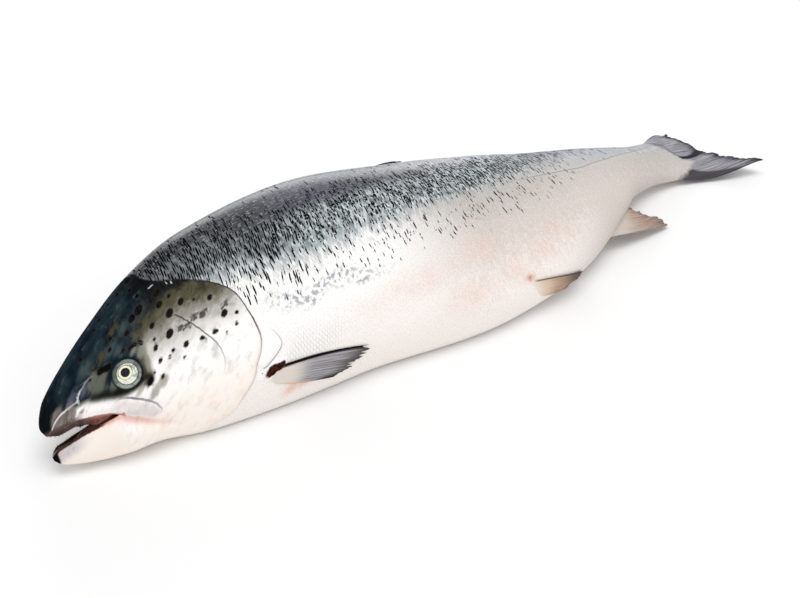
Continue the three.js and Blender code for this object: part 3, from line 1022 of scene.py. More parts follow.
def body_ground(p, flat, scales):
    """From the slate back over the silver flank to the pale belly, with a painted sheen along the
    ridge of the back.
    """
    along = p.field("along")
    even = p.field("below_dark") + (p.noise(flat, 20.0, 4.0, 0.6) - 0.5) * 10
    down = even + (scales.luck(2.0) - 0.5) * SCALE_SCATTER
    rear, far = along.step(300, 460), along.step(450, 620)
    # painted sheen: the ridge of the back is painted paler, standing in for the light it reflects
    # at a slant
    painted_sheen = p.mix((106, 108, 117), (190, 191, 199), rear)
    slate = p.mix((78, 80, 88), (166, 168, 177), rear)
    band = p.mix((84, 92, 97), (126, 129, 134), rear)
    silver = p.mix((168, 177, 181), (158, 160, 161), rear)
    beige = p.mix((184, 178, 173), (208, 198, 190), down.step(6, 60))
    dull = along.step(270, 390) * down.step(110, 50)
    nape = along.step(250, 190) * down.step(2, -14)
    fine = p.noise(flat, 420.0, 2.0).step(0.35, 0.65)
    blush = p.field("blush") * (0.6 + 0.4 * p.noise(flat, 60.0, 3.0).step(0.35, 0.65))
    ground = p.over(
        painted_sheen,
        (slate, down.step(-66, -40)),
        (band, down.step(-34, -20)),
        (silver, down.step(-20, 0)),
        ((212, 214, 213), down.step(-2, 8)),
        ((248, 247, 245), down.step(6, 18)),
        ((248, 241, 236), down.step(50, 100)),
        (beige, along.step(420, 540).most(dull) * down.step(-14, 14) * 0.96),
        ((170, 171, 178), far * p.field("lateral").step(3, -6) * 0.85),
        ((50, 52, 54), nape * 0.9),
        ((26, 27, 30), along.step(170, 125) * down.step(4, -16) * 0.85),
        ((228, 190, 174), blush * 0.5 * (0.6 + 0.4 * fine)),
        ((196, 92, 72), p.field("red") * 0.85),
        ((234, 184, 158), p.field("orange") * 0.75))
    return ground, even


def pigment(p, rows, down, below, nape, flat):
    """1 in the black marks: crowded along the dark edge, sparse above and below it."""
    clumps = p.noise(flat, 70.0, 3.0).step(0.35, 0.6, 0.7, 1.0)
    thick = down.step(-54, -26, 0.14, 1.0) * down.step(10, -12, 0.32, 1.0) * clumps
    thick = thick * below.step(5, -20) * p.field("along").step(650, 430, 0.16, 1.0)
    thick = thick * p.field("shoulder").step(1, -3)
    wide = 1.25 + down.step(10, -14) * 0.75
    strokes = thick * (1 - nape * 0.8)
    marks = rows.marks(5.6, 4.8, strokes * 0.85, wide * 0.9, 11.0).most(
        rows.marks(4.4, 3.9, strokes * 0.7, wide * 0.7, 37.0))
    blots = (p.noise(flat, 230.0, 3.0) + thick * 0.12).step(0.66, 0.71)
    marks = marks.most(blots * strokes * down.step(8, -8))
    marks = marks * p.noise(flat, 430.0, 2.0).step(0.36, 0.48)
    return marks.most(rows.marks(3.9, 4.4, thick * nape, 2.1, 71.0))


def body_scales(p, scales, rows, ground, down, flat):
    """Each scale's own shine, partly painted into its colour, painted shade in the gaps between
    them, painted glints and the black marks.
    """
    along = p.field("along")
    front, nape = along.step(540, 380), along.step(240, 190)
    shine = scales.luck(1.0)
    # painted reflection: in the dark band each scale's silver is painted lighter or darker at
    # random, standing in for the light it reflects
    pale = p.mix((104, 112, 117), (222, 231, 232), shine)
    in_band = down.step(-40, -22) * down.step(12, -4)
    dark_scale = down.step(-20, -44) * shine.step(0.7, 0.0) * (0.15 + front * 0.45)
    # painted glints: short pale dashes stretched along the fish stand in for light caught on the
    # scales' edges above the silver flank
    stretched = p.vector(along * (0.45 * MM), p.field("around") * (1.7 * MM))
    painted_glint_dash = p.noise(stretched, 520.0, 2.0).step(0.55, 0.7)
    painted_glint_dash = painted_glint_dash * down.step(6, -14) * (0.22 + front * 0.2 + nape * 0.12)
    # painted shade: the thin gap behind each scale is painted darker, most on the back and in the
    # mesh patch
    gap = scales.rim() * (down.step(40, -20, 0.05, 0.5) + p.field("mesh") * 0.35)
    grit = p.noise(flat, 620.0, 2.0) - 0.5
    below = p.field("below_marks") + (p.noise(flat, 26.0, 3.0) - 0.5) * 34
    marks = pigment(p, rows, down, below, nape, flat)
    ink = p.over((6, 7, 10), ((56, 56, 64), along.step(380, 540) * 0.8),
                 ((64, 66, 74), down.step(10, 34) * 0.4))
    blotch = below.size().step(9, 2) * along.step(300, 250) * along.step(165, 190)
    grey = p.noise(flat, 260.0, 3.0).step(0.46, 0.6) * blotch
    line = p.field("lateral").size().step(1.1, 0.3) * along.step(420, 500)
    colour = p.over(
        ground,
        (pale, in_band * (0.2 + front * 0.6) * (1 - nape * 0.7)),
        ((40, 42, 50), dark_scale),
        ((196, 204, 212), painted_glint_dash),
        ((80, 82, 90), gap * (1 - p.field("shoulder").step(-2, 1))),
        ((255, 255, 254), grit.step(0.0, 0.2) * down.step(-10, 20) * 0.25),
        ((188, 178, 173), grit.step(0.0, -0.2) * down.step(-4, 20) * 0.2),
        (ink, marks * down.step(-80, -36, 0.3, 1.0)),
        ((140, 143, 154), grey * 0.75),
        ((112, 110, 118), line * 0.5 * along.step(700, 660)))
    return colour, marks


# %% The head's colours
HEAD_TINTS = (
    # patch, its colour, its greatest share, and the mask where it starts and is full
    ("snout_blue", (104, 109, 126), 0.6, 0.25, 1.1),
    ("under_eye", (100, 103, 92), 0.85, 0.2, 0.85),
    ("behind_eye", (134, 138, 126), 0.75, 0.25, 0.9),
    ("behind_grey", (150, 146, 134), 0.75, 0.25, 0.9),
    ("behind_dark", (66, 56, 52), 0.92, 0.3, 0.8),
    ("muzzle", (124, 116, 112), 0.92, 0.15, 0.6),
    ("cheek_grey", (166, 163, 158), 0.45, 0.35, 1.2),
)
HEAD_LINES = (
    # distance mask, strength mask, colour, half width in mm
    ("cheek", "cheek_dark", (56, 48, 54), 0.75),
    ("maxilla", "plate_dark", (92, 88, 104), 0.8),
    # pale line on the snout fold: partly the pale edge of the upper lip, partly a painted
    # highlight on its ridge
    ("snout_fold", "fold_pale_and_highlight", (224, 222, 222), 0.75),
)


def head_colour(p, flat):
    """Navy snout and crown with painted soft highlights, olive nape, and a slow change to the
    pale cheek.
    """
    along, around = p.field("along"), p.field("around")
    cloud = p.noise(flat, 52.0, 5.0, 0.62)
    patch = p.noise(flat, 26.0, 3.0, 0.5) - 0.5
    mottle = p.noise(flat, 110.0, 6.0, 0.72)
    moss = p.mix((68, 66, 46), (32, 36, 31), mottle.step(0.54, 0.42))
    olive = (p.field("olive") + patch * 0.6 + (mottle - 0.5) * 1.8).step(0.3, 1.0)
    tone = p.field("tone")
    unsure = tone.step(0.02, 0.3) * tone.step(1.1, 0.8)
    tone = tone + (patch * 0.4 + (mottle - 0.5) * 0.7) * unsure
    middle = p.mix((104, 106, 100), (84, 80, 62), along.step(62, 84))
    pale = p.mix((252, 250, 248), (200, 195, 192), mottle.step(0.47, 0.68) * 0.65)
    face = p.over(
        (12, 24, 34),
        ((34, 47, 54), cloud.step(0.36, 0.64)),
        # painted soft highlights: lighter grey streaks on the dark top of the head, laid out by
        # the mottle noise
        ((72, 88, 88), (p.field("teal") + patch).step(0.25, 1.0) * 0.6),
        ((78, 88, 88), mottle.step(0.54, 0.66) * 0.4),
        ((8, 14, 20), mottle.step(0.48, 0.36) * 0.6),
        ((6, 7, 11), along.step(22, 6) * 0.85),
        ((12, 13, 13), along.step(84, 104) * 0.9),
        (moss, olive * 0.85),
        (middle, tone.step(0.08, 0.42)),
        ((146, 142, 134), tone.step(0.34, 0.62)),
        ((204, 200, 195), tone.step(0.58, 0.84)),
        (pale, tone.step(0.8, 1.02)))
    for name, colour, share, low, high in HEAD_TINTS:
        spread = p.field(name) + (mottle - 0.5) * 1.3
        face = p.mix(face, colour, spread.step(low, high) * share)
    soft = p.mix((253, 244, 236), (243, 228, 217), mottle.step(0.48, 0.66))
    cream = (around - along * 0.52 - 60).step(-12, 14) * tone.step(0.9, 1.0)
    return p.over(
        face,
        ((64, 52, 48), p.field("muzzle") * mottle.step(0.5, 0.6) * 0.7),
        ((20, 24, 14), p.field("under") * 0.9),
        (soft, cream))


def head_marks(p, face, flat):
    """Spots, creases, lips, the plate over the corner of the mouth, and painted highlights on the
    wet skin.
    """
    along = p.field("along")
    grit = p.noise(flat, 700.0, 2.0)
    inner = p.mix((224, 214, 211), (190, 183, 188), p.noise(flat, 90.0, 4.0).step(0.4, 0.66))
    lip = p.field("lip") + (grit - 0.5) * 1.2
    spots = p.field("spot") + (grit - 0.5) * 0.9
    smudge = p.field("smudge") + (p.noise(flat, 330.0, 3.0) - 0.5) * 1.8
    face = p.over(
        face,
        ((22, 30, 32), p.field("eye").step(12.2, 10.9) * 0.8),
        (inner, p.field("maxilla").step(-0.6, 2.4) * 0.7),
        ((242, 234, 232), lip.step(5.2, 3.0) * along.step(20, 28) * 0.9),
        ((150, 96, 84), lip.step(0.9, 0.1) * along.step(16, 24) * 0.8),
        ((84, 58, 54), lip.step(3.2, 0.4) * along.step(24, 16) * 0.85),
        ((48, 38, 34), spots.step(1.0, 0.1) * 0.55),
        ((8, 5, 6), spots.step(0.45, -0.2) * 0.97),
        ((38, 32, 32), smudge.step(0.4, 0.85) * 0.85))
    thin = (p.noise(flat, 240.0, 2.0) - 0.5) * 1.2
    for name, strength, colour, wide in HEAD_LINES:
        line = (p.field(name) + thin).size().step(wide, wide * 0.4)
        face = p.mix(face, colour, line * p.field(strength) * 0.85)
    # painted glints on the wet skin of the snout, the nostril and the nape
    painted_glints = (p.field("painted_glints") + (grit - 0.5) * 0.9).step(0.35, 0.9)
    return p.over(face, ((208, 212, 222), painted_glints * 0.8),
                  ((226, 160, 140), p.field("pink") * 0.65))


def jaw_marks(p, colour, flat):
    """The dark toothed rim, the grey front and the black tip of the lower jaw."""
    along, rim = p.field("along"), p.field("jaw")
    grit = p.noise(flat, 420.0, 3.0)
    depth = rim + (grit - 0.5) * 1.6
    flecks = grit.step(0.62, 0.68) * depth.step(9, 5) * along.step(30, 20)
    chin = p.over(
        (250, 239, 230),
        ((204, 196, 198), depth.step(12, 5) * along.step(30, 12)),
        ((70, 62, 66), flecks * 0.8),
        ((74, 40, 36), depth.step(1.7, 0.6) * along.step(44, 34)),
        ((228, 156, 136), depth.step(4.0, 1.0) * along.step(32, 44) * 0.8),
        ((8, 6, 10), along.step(5.4, 4.0)))
    return p.mix(colour, chin, rim.step(39, 36) * along.step(50, 42))


# %% The skin material
def skin_material():
    p = Paint("salmon_skin")
    along, around = p.field("along"), p.field("around")
    flat = p.vector(along * MM, around * MM)
    face_flat = p.vector(along * (0.8 * MM), around * MM)
    scales = Lattice(p, along, around, flat, SCALE)
    rows = Lattice(p, along, around, flat, PIGMENT)
    ground, down = body_ground(p, flat, scales)
    body, marks = body_scales(p, scales, rows, ground, down, flat)
    shoulder = p.field("shoulder").step(-1.5, 1.0)
    rim = p.field("shoulder").size().step(0.9, 0.3) * p.field("shoulder_dark")
    body = p.over(body, ((248, 246, 244), shoulder), ((72, 64, 76), rim * 0.6))
    streak = p.noise(p.vector(along * 0.012, around * 0.16), 3.0, 3.0)
    flesh = (p.field("flesh") + (p.noise(flat, 160.0, 4.0) - 0.5) * 8).step(-3.5, 3.5)
    body = p.over(
        (150, 149, 154),
        ((104, 102, 110), streak.step(0.4, 0.65)),
        (BAND_COLOUR, p.field("band").step(-1.5, 2.5) * 0.9),
        (body, flesh))
    face = head_marks(p, head_colour(p, face_flat), face_flat)
    is_head = (p.field("head") + (p.noise(flat, 300.0, 2.0) - 0.5) * 1.5).step(-0.7, 0.7)
    colour = jaw_marks(p, p.mix(body, face, is_head), face_flat)
    slit = (p.field("head") + (p.noise(flat, 240.0, 2.0) - 0.5) * 0.8).size().step(1.0, 0.4)
    stain = p.noise(flat, 260.0, 3.0)
    knob = (p.field("knob") + (stain - 0.5) * 0.4).step(0.35, 0.6)
    colour = p.over(colour, ((26, 20, 24), slit * p.field("gill_dark") * 0.9),
                    (p.mix((78, 30, 20), (24, 11, 10), stain.step(0.4, 0.6)), knob))
    bare = (1 - is_head) * (1 - shoulder) * flesh * (1 - knob)
    soft = down.step(60, -10, 0.22, 1.0)
    normal = p.bump(scales.slope() * bare * soft, 0.5, 0.0006)
    normal = p.bump(p.noise(flat, 850.0, 3.0), 0.10, 0.0005, normal)
    silver = bare * down.step(60, -10)
    back = bare * down.step(-22, -50)
    rough = 0.4 + (scales.luck(1.0) - 0.5) * 0.2 * bare + marks * 0.1
    coat = (0.05 + silver * 0.14 + back * 0.6) * (1 - marks * 0.9)
    return p.finish(Base_Color=colour, Roughness=rough, Normal=normal, Coat_Weight=coat,
                    Coat_Roughness=0.26, Specular_IOR_Level=0.0)


SKIN_PAINT = skin_material()
print("skin paint has", len(SKIN_PAINT.node_tree.nodes), "nodes")


# %% The mouth material
def mouth_material():
    p = Paint("salmon_mouth")
    cloud = p.noise(p.place(), 210.0, 4.0)
    gum, deep = p.field("gum"), p.field("along").step(22, 38)
    ridge = p.mix((50, 36, 35), (96, 50, 44), deep)
    colour = p.over(
        (82, 62, 57),
        ((196, 134, 118), deep),
        ((112, 82, 76), cloud.step(0.45, 0.62) * 0.8),
        (ridge, gum.step(0.25, 0.85) * cloud.step(0.6, 0.42, 0.6, 1.0)))
    return p.finish(Base_Color=colour, Roughness=0.35, Coat_Weight=0.15, Coat_Roughness=0.2,
                    Normal=p.bump(cloud, 0.4, 0.0008), Specular_IOR_Level=0.15)


MOUTH_PAINT = mouth_material()
print("mouth paint ready")


# %% Sewing the grids together
def numbered(grids):
    """Vertex numbers for several grids in a row."""
    start, made = 0, []
    for grid in grids:
        count = grid.shape[0] * grid.shape[1]
        made.append(np.arange(start, start + count).reshape(grid.shape[:2]))
        start += count
    return made


def tail_cap(ring):
    """Closes the narrow end with strips from one flank to the other."""
    half = len(ring) // 2
    return [(ring[half - k], ring[half - k - 1], ring[half + k + 1], ring[half + k])
            for k in range(half)]


def sew_skin():
    """Joins the four grids along the lips, and closes the nose, the throat and the tail."""
    grids = (UPPER_PUSHED, LOWER_PUSHED, ROOF, FLOOR)
    upper, lower, roof, floor = numbered(grids)
    upper[0, :], lower[0, :] = upper[0, 0], lower[0, 0]
    for edge in (0, -1):
        lower[CORNER_ROW:, edge] = upper[CORNER_ROW:, edge]
        roof[:CORNER_ROW + 1, edge] = upper[:CORNER_ROW + 1, edge]
        floor[:CORNER_ROW, edge] = lower[:CORNER_ROW, edge]
        floor[CORNER_ROW, edge] = upper[CORNER_ROW, edge]
        floor[CORNER_ROW + 1:, edge] = roof[CORNER_ROW + 1:, edge]
    roof[0, :], floor[0, :] = upper[0, 0], lower[0, 0]
    roof[-1, :] = floor[-1, :] = roof[-1, 0]
    cap = tail_cap(upper[-1].tolist()) + tail_cap(lower[-1].tolist())
    outer = tidy_faces(grid_faces(upper) + grid_faces(lower) + cap)
    inner = tidy_faces(grid_faces(roof) + grid_faces(floor))
    points = np.vstack([grid.reshape(-1, 3) for grid in grids])
    return points, outer + inner, [0] * len(outer) + [1] * len(inner)


def make_skin():
    points, faces, parts = sew_skin()
    lining = np.zeros(ROOF[..., 0].size * 2)
    values = {key: np.concatenate([UPPER_MASKS[key], LOWER_MASKS[key], lining])
              for key in UPPER_MASKS}
    gum = np.exp(-((np.abs(MOUTH_ACROSS) - GUM_AT) / 0.12) ** 2).ravel()
    outside = np.zeros(UPPER[..., 0].size + LOWER[..., 0].size)
    values["gum"] = np.concatenate([outside, gum, gum])
    values["along"][len(outside):] = np.concatenate([ROOF[..., 0].ravel(), FLOOR[..., 0].ravel()])
    points, faces, values = used_only(points, faces, values)
    uv = np.stack([values["along"], values["around"]], -1) * MM
    made = mesh_object("salmon_skin", lay(points), faces, [SKIN_PAINT, MOUTH_PAINT], values,
                       parts, uv)
    edges = bmesh.new()
    edges.from_mesh(made.data)
    print("open edges of the skin:", sum(1 for edge in edges.edges if not edge.is_manifold))
    edges.free()
    hand_over(made)


make_skin()

# %% [markdown]
# ## The eyes
#
# A fish's eye has no lids: a clear, slightly domed window lies flush with the skin. The
# dome is a disc of rings and spokes that is first pressed onto the skin and then raised in
# the middle, so its edge meets the socket all the way round. Its paint reads the distance
# from the pupil and from the middle, and where on the eye a point lies, so that the top of
# the iris can carry a painted shadow of the brow.

# %% Eye material
def eye_material():
    p = Paint("salmon_eye")
    where = p.place()
    grain = p.noise(where, 900.0, 3.0) - 0.5
    cloud = p.noise(where, 300.0, 4.0, 0.6)
    pupil = p.field("pupil") + grain * 0.7
    r, low = p.field("rim") + grain * 0.7, p.field("low")
    # painted shadow of the brow: the upper part of the iris is painted darker olive-grey, in
    # patches
    olive = low.step(0.5, -4.5) * cloud.step(0.36, 0.56)
    iris = p.over((226, 228, 216), ((122, 128, 110), olive * 0.9),
                  ((120, 126, 112), cloud.step(0.55, 0.64) * 0.7))
    ring = p.over((88, 100, 94), ((150, 158, 150), low.step(-3.0, 5.0)),
                  ((52, 64, 62), cloud.step(0.47, 0.58) * 0.6))
    side = (p.field("fore") * 0.7 - low * 0.7).step(-9.0, 2.0)
    colour = p.over(
        (10, 9, 22),
        ((52, 44, 40), pupil.step(2.7, 3.1)),
        ((238, 234, 202), pupil.step(3.1, 3.4)),
        ((70, 70, 56), pupil.step(4.5, 4.8) * low.step(3.0, -3.0, 0.5, 1.0)),
        (iris, pupil.step(4.9, 5.3)),
        ((64, 74, 64), r.step(7.0, 7.4)),
        (ring, r.step(7.6, 8.1)),
        ((16, 24, 26), r.step(9.4, 10.3) * (1 - side * 0.3)))
    return p.finish(Base_Color=colour, Roughness=0.25, Coat_Weight=0.55, Coat_Roughness=0.05,
                    Specular_IOR_Level=0.12)


EYE_PAINT = eye_material()
print("eye paint ready")


# %% The eyeballs
EYE_DOME, EYE_SUNK, EYE_DEPTH = 2.4, 0.35, 3.4      # window's rise, its sunken rim, the back
PUPIL_OFF = (0.9, 1.4)                              # the pupil looks forward and up


def onto_skin(points):
    """Moves points onto the plain skin, straight away from the midline."""
    along, out, up = np.moveaxis(points, -1, 0)
    height = np.where(up > 0, curve(SECTIONS, 1, along), curve(SECTIONS, 2, along))
    reach = (np.abs(out / curve(SECTIONS, 3, along)) ** SECTION_POWER
             + np.abs(up / height) ** SECTION_POWER) ** (1 / SECTION_POWER)
    return np.stack([along, out / reach, up / reach], -1)


def eyeball(name, side, rings=26, spokes=64):
    """A low dome on the skin, closed behind."""
    centre = flank(EYE["along"], side * EYE["degrees"])
    facing = flank_out(EYE["along"], side * EYE["degrees"])
    facing *= np.sign(facing[1]) * side
    ahead = np.array([1.0, 0, 0]) - facing * facing[0]
    ahead /= np.linalg.norm(ahead)
    down = np.cross(ahead, facing) * -side
    down *= -np.sign(down[2])
    turns = np.arange(spokes) / spokes * 2 * np.pi
    share = np.linspace(0, 1, rings + 1)
    radius = np.concatenate([share, share[-2::-1]]) * EYE["radius"]
    x, y = radius[:, None] * np.cos(turns), radius[:, None] * np.sin(turns)
    disc = centre + x[..., None] * ahead + y[..., None] * down
    dome = EYE_DOME * np.sqrt(1 - share ** 2) - EYE_SUNK
    height = np.concatenate([dome, np.full(rings, -EYE_DEPTH)])
    points = onto_skin(disc) + height[:, None, None] * facing
    index = np.arange(points.shape[0] * spokes).reshape(-1, spokes)
    index[0, :], index[-1, :] = index[0, 0], index[-1, 0]
    index = np.concatenate([index, index[:, :1]], 1)
    pupil = np.hypot(x + PUPIL_OFF[0], y + PUPIL_OFF[1])
    values = {"pupil": pupil.ravel(), "rim": np.hypot(x, y).ravel(), "low": y.ravel(),
              "fore": -x.ravel()}
    faces = tidy_faces(grid_faces(index))
    points, faces, values = used_only(points.reshape(-1, 3), faces, values)
    hand_over(mesh_object(name, lay(points), faces, [EYE_PAINT], values))


eyeball("salmon_eye_left", 1)
eyeball("salmon_eye_right", -1)

# %% [markdown]
# ## Geometry Nodes for what repeats
#
# The fins have dozens of bony rays and the jaws dozens of teeth. Each kind is one small
# node tree. A ray starts as a line of edges whose points carry their own thickness. The tree
# turns every line into a tapering rod and joins the rods with the fin's web.

# %% A helper for node trees
class Tree:
    """A Geometry Nodes tree with named inputs."""

    def __init__(self, name, inputs):
        self.group = bpy.data.node_groups.new(name, "GeometryNodeTree")
        panel = self.group.interface
        panel.new_socket("Geometry", in_out="INPUT", socket_type="NodeSocketGeometry")
        self.names = {}
        for label, kind in inputs.items():
            socket = panel.new_socket(label, in_out="INPUT", socket_type="NodeSocket" + kind)
            self.names[label] = socket.identifier
        panel.new_socket("Geometry", in_out="OUTPUT", socket_type="NodeSocketGeometry")
        self.entry = self.group.nodes.new("NodeGroupInput")

    def given(self, label):
        return self.entry.outputs[label]

    def node(self, kind, settings=None, inputs=None, output=0):
        made = self.group.nodes.new(kind)
        for key, setting in (settings or {}).items():
            setattr(made, key, setting)
        for key, value in (inputs or {}).items():
            if isinstance(value, bpy.types.NodeSocket):
                self.group.links.new(value, made.inputs[key])
            else:
                made.inputs[key].default_value = value
        return made.outputs[output]

    def join(self, *parts):
        made = self.group.nodes.new("GeometryNodeJoinGeometry")
        for part in parts:
            self.group.links.new(part, made.inputs[0])
        return made.outputs[0]

    def finish(self, geometry, material):
        """Realizes, gives the material and ends the tree."""
        real = self.node("GeometryNodeRealizeInstances", {}, {"Geometry": geometry})
        done = self.node("GeometryNodeSetMaterial", {}, {"Geometry": real, "Material": material})
        last = self.group.nodes.new("NodeGroupOutput")
        self.group.links.new(done, last.inputs[0])

    def make(self, host, values):
        """Runs the tree on an object and keeps the result as a plain mesh."""
        modifier = host.modifiers.new(self.group.name, "NODES")
        modifier.node_group = self.group
        for label, value in values.items():
            modifier[self.names[label]] = value
        bpy.context.view_layer.update()
        depsgraph = bpy.context.evaluated_depsgraph_get()
        mesh = bpy.data.meshes.new_from_object(host.evaluated_get(depsgraph))
        host.modifiers.clear()
        host.data = mesh
        finish_mesh(mesh)


def line_object(name, points, edges, values):
    """An object of bare lines or points, with their numbers."""
    mesh = bpy.data.meshes.new(name)
    mesh.from_pydata((np.asarray(points) * MM).tolist(), edges, [])
    add_numbers(mesh, values)
    return put_in_scene(name, mesh)


# %% The tree that makes rays
def ray_tree():
    tree = Tree("fin_rays", {"Web": "Object", "Sides": "Int", "Finish": "Material"})
    lines = tree.node("GeometryNodeMeshToCurve", {}, {"Mesh": tree.given("Geometry")})
    thick = tree.node("GeometryNodeInputNamedAttribute", {"data_type": "FLOAT"},
                      {"Name": "thick"})
    ring = tree.node("GeometryNodeCurvePrimitiveCircle", {},
                     {"Resolution": tree.given("Sides"), "Radius": 1.0})
    rods = tree.node("GeometryNodeCurveToMesh", {},
                     {"Curve": lines, "Profile Curve": ring, "Scale": thick,
                      "Fill Caps": True})
    web = tree.node("GeometryNodeObjectInfo", {}, {"Object": tree.given("Web")}, "Geometry")
    tree.finish(tree.join(web, rods), tree.given("Finish"))
    return tree


RAY_TREE = ray_tree()
print("ray tree has", len(RAY_TREE.group.nodes), "nodes")

# %% [markdown]
# ## Fins
#
# A fin is a thin web of skin between bony rays. Its outline runs from a root to a margin,
# which is ragged where rays have broken. The web is thick and fleshy at the root, so that
# it grows out of the body, and thin as paper at the margin. The rays fork once on the way.

# %% Fin shapes
MIDDLE_FINS = {
    "dorsal_fin": {"root": [[322, 84], [404, 78]],
                   "margin": [[388, 102], [404, 99.5], [418, 92], [430, 83]],
                   "bow": [2, 0], "lean": -8.5, "rays": 14, "ragged": 0.05, "seed": 3,
                   "fleshy": 2.0},
    "adipose_fin": {"root": [[590, 40], [608, 36]],
                    "margin": [[610, 51], [618, 50], [619, 43]],
                    "bow": [2, 0], "lean": -8, "rays": 0, "ragged": 0.0, "seed": 4,
                    "fleshy": 2.0},
    "anal_fin": {"root": [[522, -60], [586, -35]],
                 "margin": [[614, -75], [610, -62], [595, -50], [590, -42]],
                 "bow": [-2, 0], "lean": 0, "rays": 11, "ragged": 0.07, "seed": 5,
                 "fleshy": 5.0},
    "tail_fin": {"root": [[688, 27.5], [704, 0], [690, -25.5]],
                 "margin": [[783, 63], [775, 36], [768, 6], [769, -12], [781, -35],
                            [791, -63]],
                 "bow": [-1, -2], "lean": 0, "rays": 26, "ragged": 0.045, "seed": 6,
                 "fleshy": 3.0},
}
SIDE_FINS = {
    "pectoral_fin": {"root": [[150, 126], [157, 137]],
                     "margin": [[244, 143.5], [237, 150], [228, 152], [222, 156], [210, 157],
                                [197, 152]],
                     "bow": [-3, 2], "rays": 13, "ragged": 0.10, "seed": 7, "fleshy": 1.2},
    "pelvic_fin": {"root": [[402, 150], [412, 170]],
                   "margin": [[470, 177], [468, 184], [456, 188], [440, 184]],
                   "bow": [-3, 0], "rays": 10, "ragged": 0.06, "seed": 8, "fleshy": 0.3},
}
TAIL_FOLD = [(722, 8), (728, -2), (737, -4.5), (747, -3.5), (758, 0.5), (768, 4)]
print(len(MIDDLE_FINS) + len(SIDE_FINS), "fins")


# %% Places on a fin
def fin_place(fin, across, out):
    """A point of the fin's flat outline: across from front to rear, out from root to margin."""
    out = np.asarray(out, float)
    place = (spline(fin["root"], across) * (1 - out[..., None])
             + spline(fin["margin"], across) * out[..., None])
    bow = fin["bow"][0] * (1 - across) + fin["bow"][1] * across
    place[..., 1] += np.sin(np.pi * out) * bow
    return place


def ripple(fin, across, out):
    """The web is never quite flat."""
    turn = fin["seed"] * 1.7
    return 1.1 * out * (np.sin(across * 17 + turn) + 0.6 * np.sin(across * 41 + 2 * turn))


def middle_fin(fin, across, out, off):
    """Fins on the midline stand up from the back, the belly or the tail."""
    place = fin_place(fin, across, out)
    lean = fin["lean"] * out ** 2
    return np.stack([place[..., 0], off + lean + ripple(fin, across, out), place[..., 1]], -1)


def side_fin(fin, across, out, off):
    """The paired fins lie against the left flank."""
    place = fin_place(fin, across, out)
    lift = 1.1 + 0.5 * ripple(fin, across, out) * smooth(0.2, 0.6, out)
    lift = np.maximum(lift, 0.8) * smooth(-0.02, 0.3, out) - 1.2 * smooth(0.12, 0, out) + off
    along, degrees = place[..., 0], place[..., 1]
    return flank(along, degrees) + flank_out(along, degrees) * lift[..., None]


def ragged_reach(fin, across):
    """How far the web reaches, with torn notches between the rays."""
    rng = np.random.default_rng(fin["seed"])
    count = max(fin["rays"], 1) * 3 + 1
    tears = rng.random(count) ** 2
    tears[::3] *= 0.2
    return 1 - fin["ragged"] * np.interp(across * (count - 1), np.arange(count), tears)


print("web of the tail starts at", middle_fin(MIDDLE_FINS["tail_fin"], np.array(0.5),
                                              np.array(0.0), 0).round())


# %% Webs and rays
def fin_web(fin, place, columns=150, rows=56):
    """A closed sheet: two faces that meet at the front, the rear and the margin."""
    across = np.linspace(0, 1, columns + 1)[:, None]
    reach = ragged_reach(fin, across)
    out = np.linspace(0, 1, rows + 1)[None, :] * reach
    across = across + 0 * out
    near_edge = (1 - (2 * across - 1) ** 10) * (1 - (out / reach) ** 8)
    half = (0.35 + fin["fleshy"] * np.exp(-out / 0.09) + 0.2 * (1 - out)) * near_edge
    faces_of = [place(fin, across, out, sign * half) for sign in (1, -1)]
    front, back = numbered(faces_of)
    back[0], back[-1], back[:, -1] = front[0], front[-1], front[:, -1]
    rim = np.stack([front[:, 0], back[:, 0]])
    faces = tidy_faces(grid_faces(front) + grid_faces(back) + grid_faces(rim))
    values = {"out": np.tile(out.ravel(), 2), "across": np.tile(across.ravel(), 2),
              "line": np.zeros(out.size * 2)}
    points = np.vstack([grid.reshape(-1, 3) for grid in faces_of])
    return used_only(points, faces, values)


def fin_rays(fin, place, thick=0.85, steps=14):
    """Forked lines from the root to the margin, with a thickness at every point."""
    points, edges, values = [], [], {"thick": [], "out": [], "across": [], "line": []}
    count = fin["rays"]

    def line(start, end, first, last):
        t = np.linspace(0, 1, steps)
        out = first + (last - first) * t
        across = start + (end - start) * smooth(0, 1, t)
        begin = sum(len(block) for block in points)
        points.append(place(fin, across, out, 0))
        edges.extend((begin + k, begin + k + 1) for k in range(steps - 1))
        values["thick"].extend(thick * (1 - 0.6 * out) * MM)
        values["out"].extend(out)
        values["across"].extend(across)
        values["line"].extend(np.ones(steps))

    for k in range(count):
        at = (k + 0.5) / count
        fork = 0.42 + 0.12 * math.sin(k * 2.4 + fin["seed"])
        line(at, at, 0.03, fork)
        for side in (-1, 1):
            tip = at + side * 0.24 / count
            line(at, tip, fork, float(ragged_reach(fin, tip)) * 0.985)
    return np.vstack(points), edges, values


print("the tail's rays are", 3 * MIDDLE_FINS["tail_fin"]["rays"], "lines, three to a ray")


# %% [markdown]
# ## Fin colours
#
# Each fin has its own colours, but all are worked out in the same way: from the root's
# colour to the web's and the margin's, with streaks that run out along the rays. A few
# extra masks paint a dark wedge where the tail folds, give the pectoral fin its dark
# leading edge, and so on.

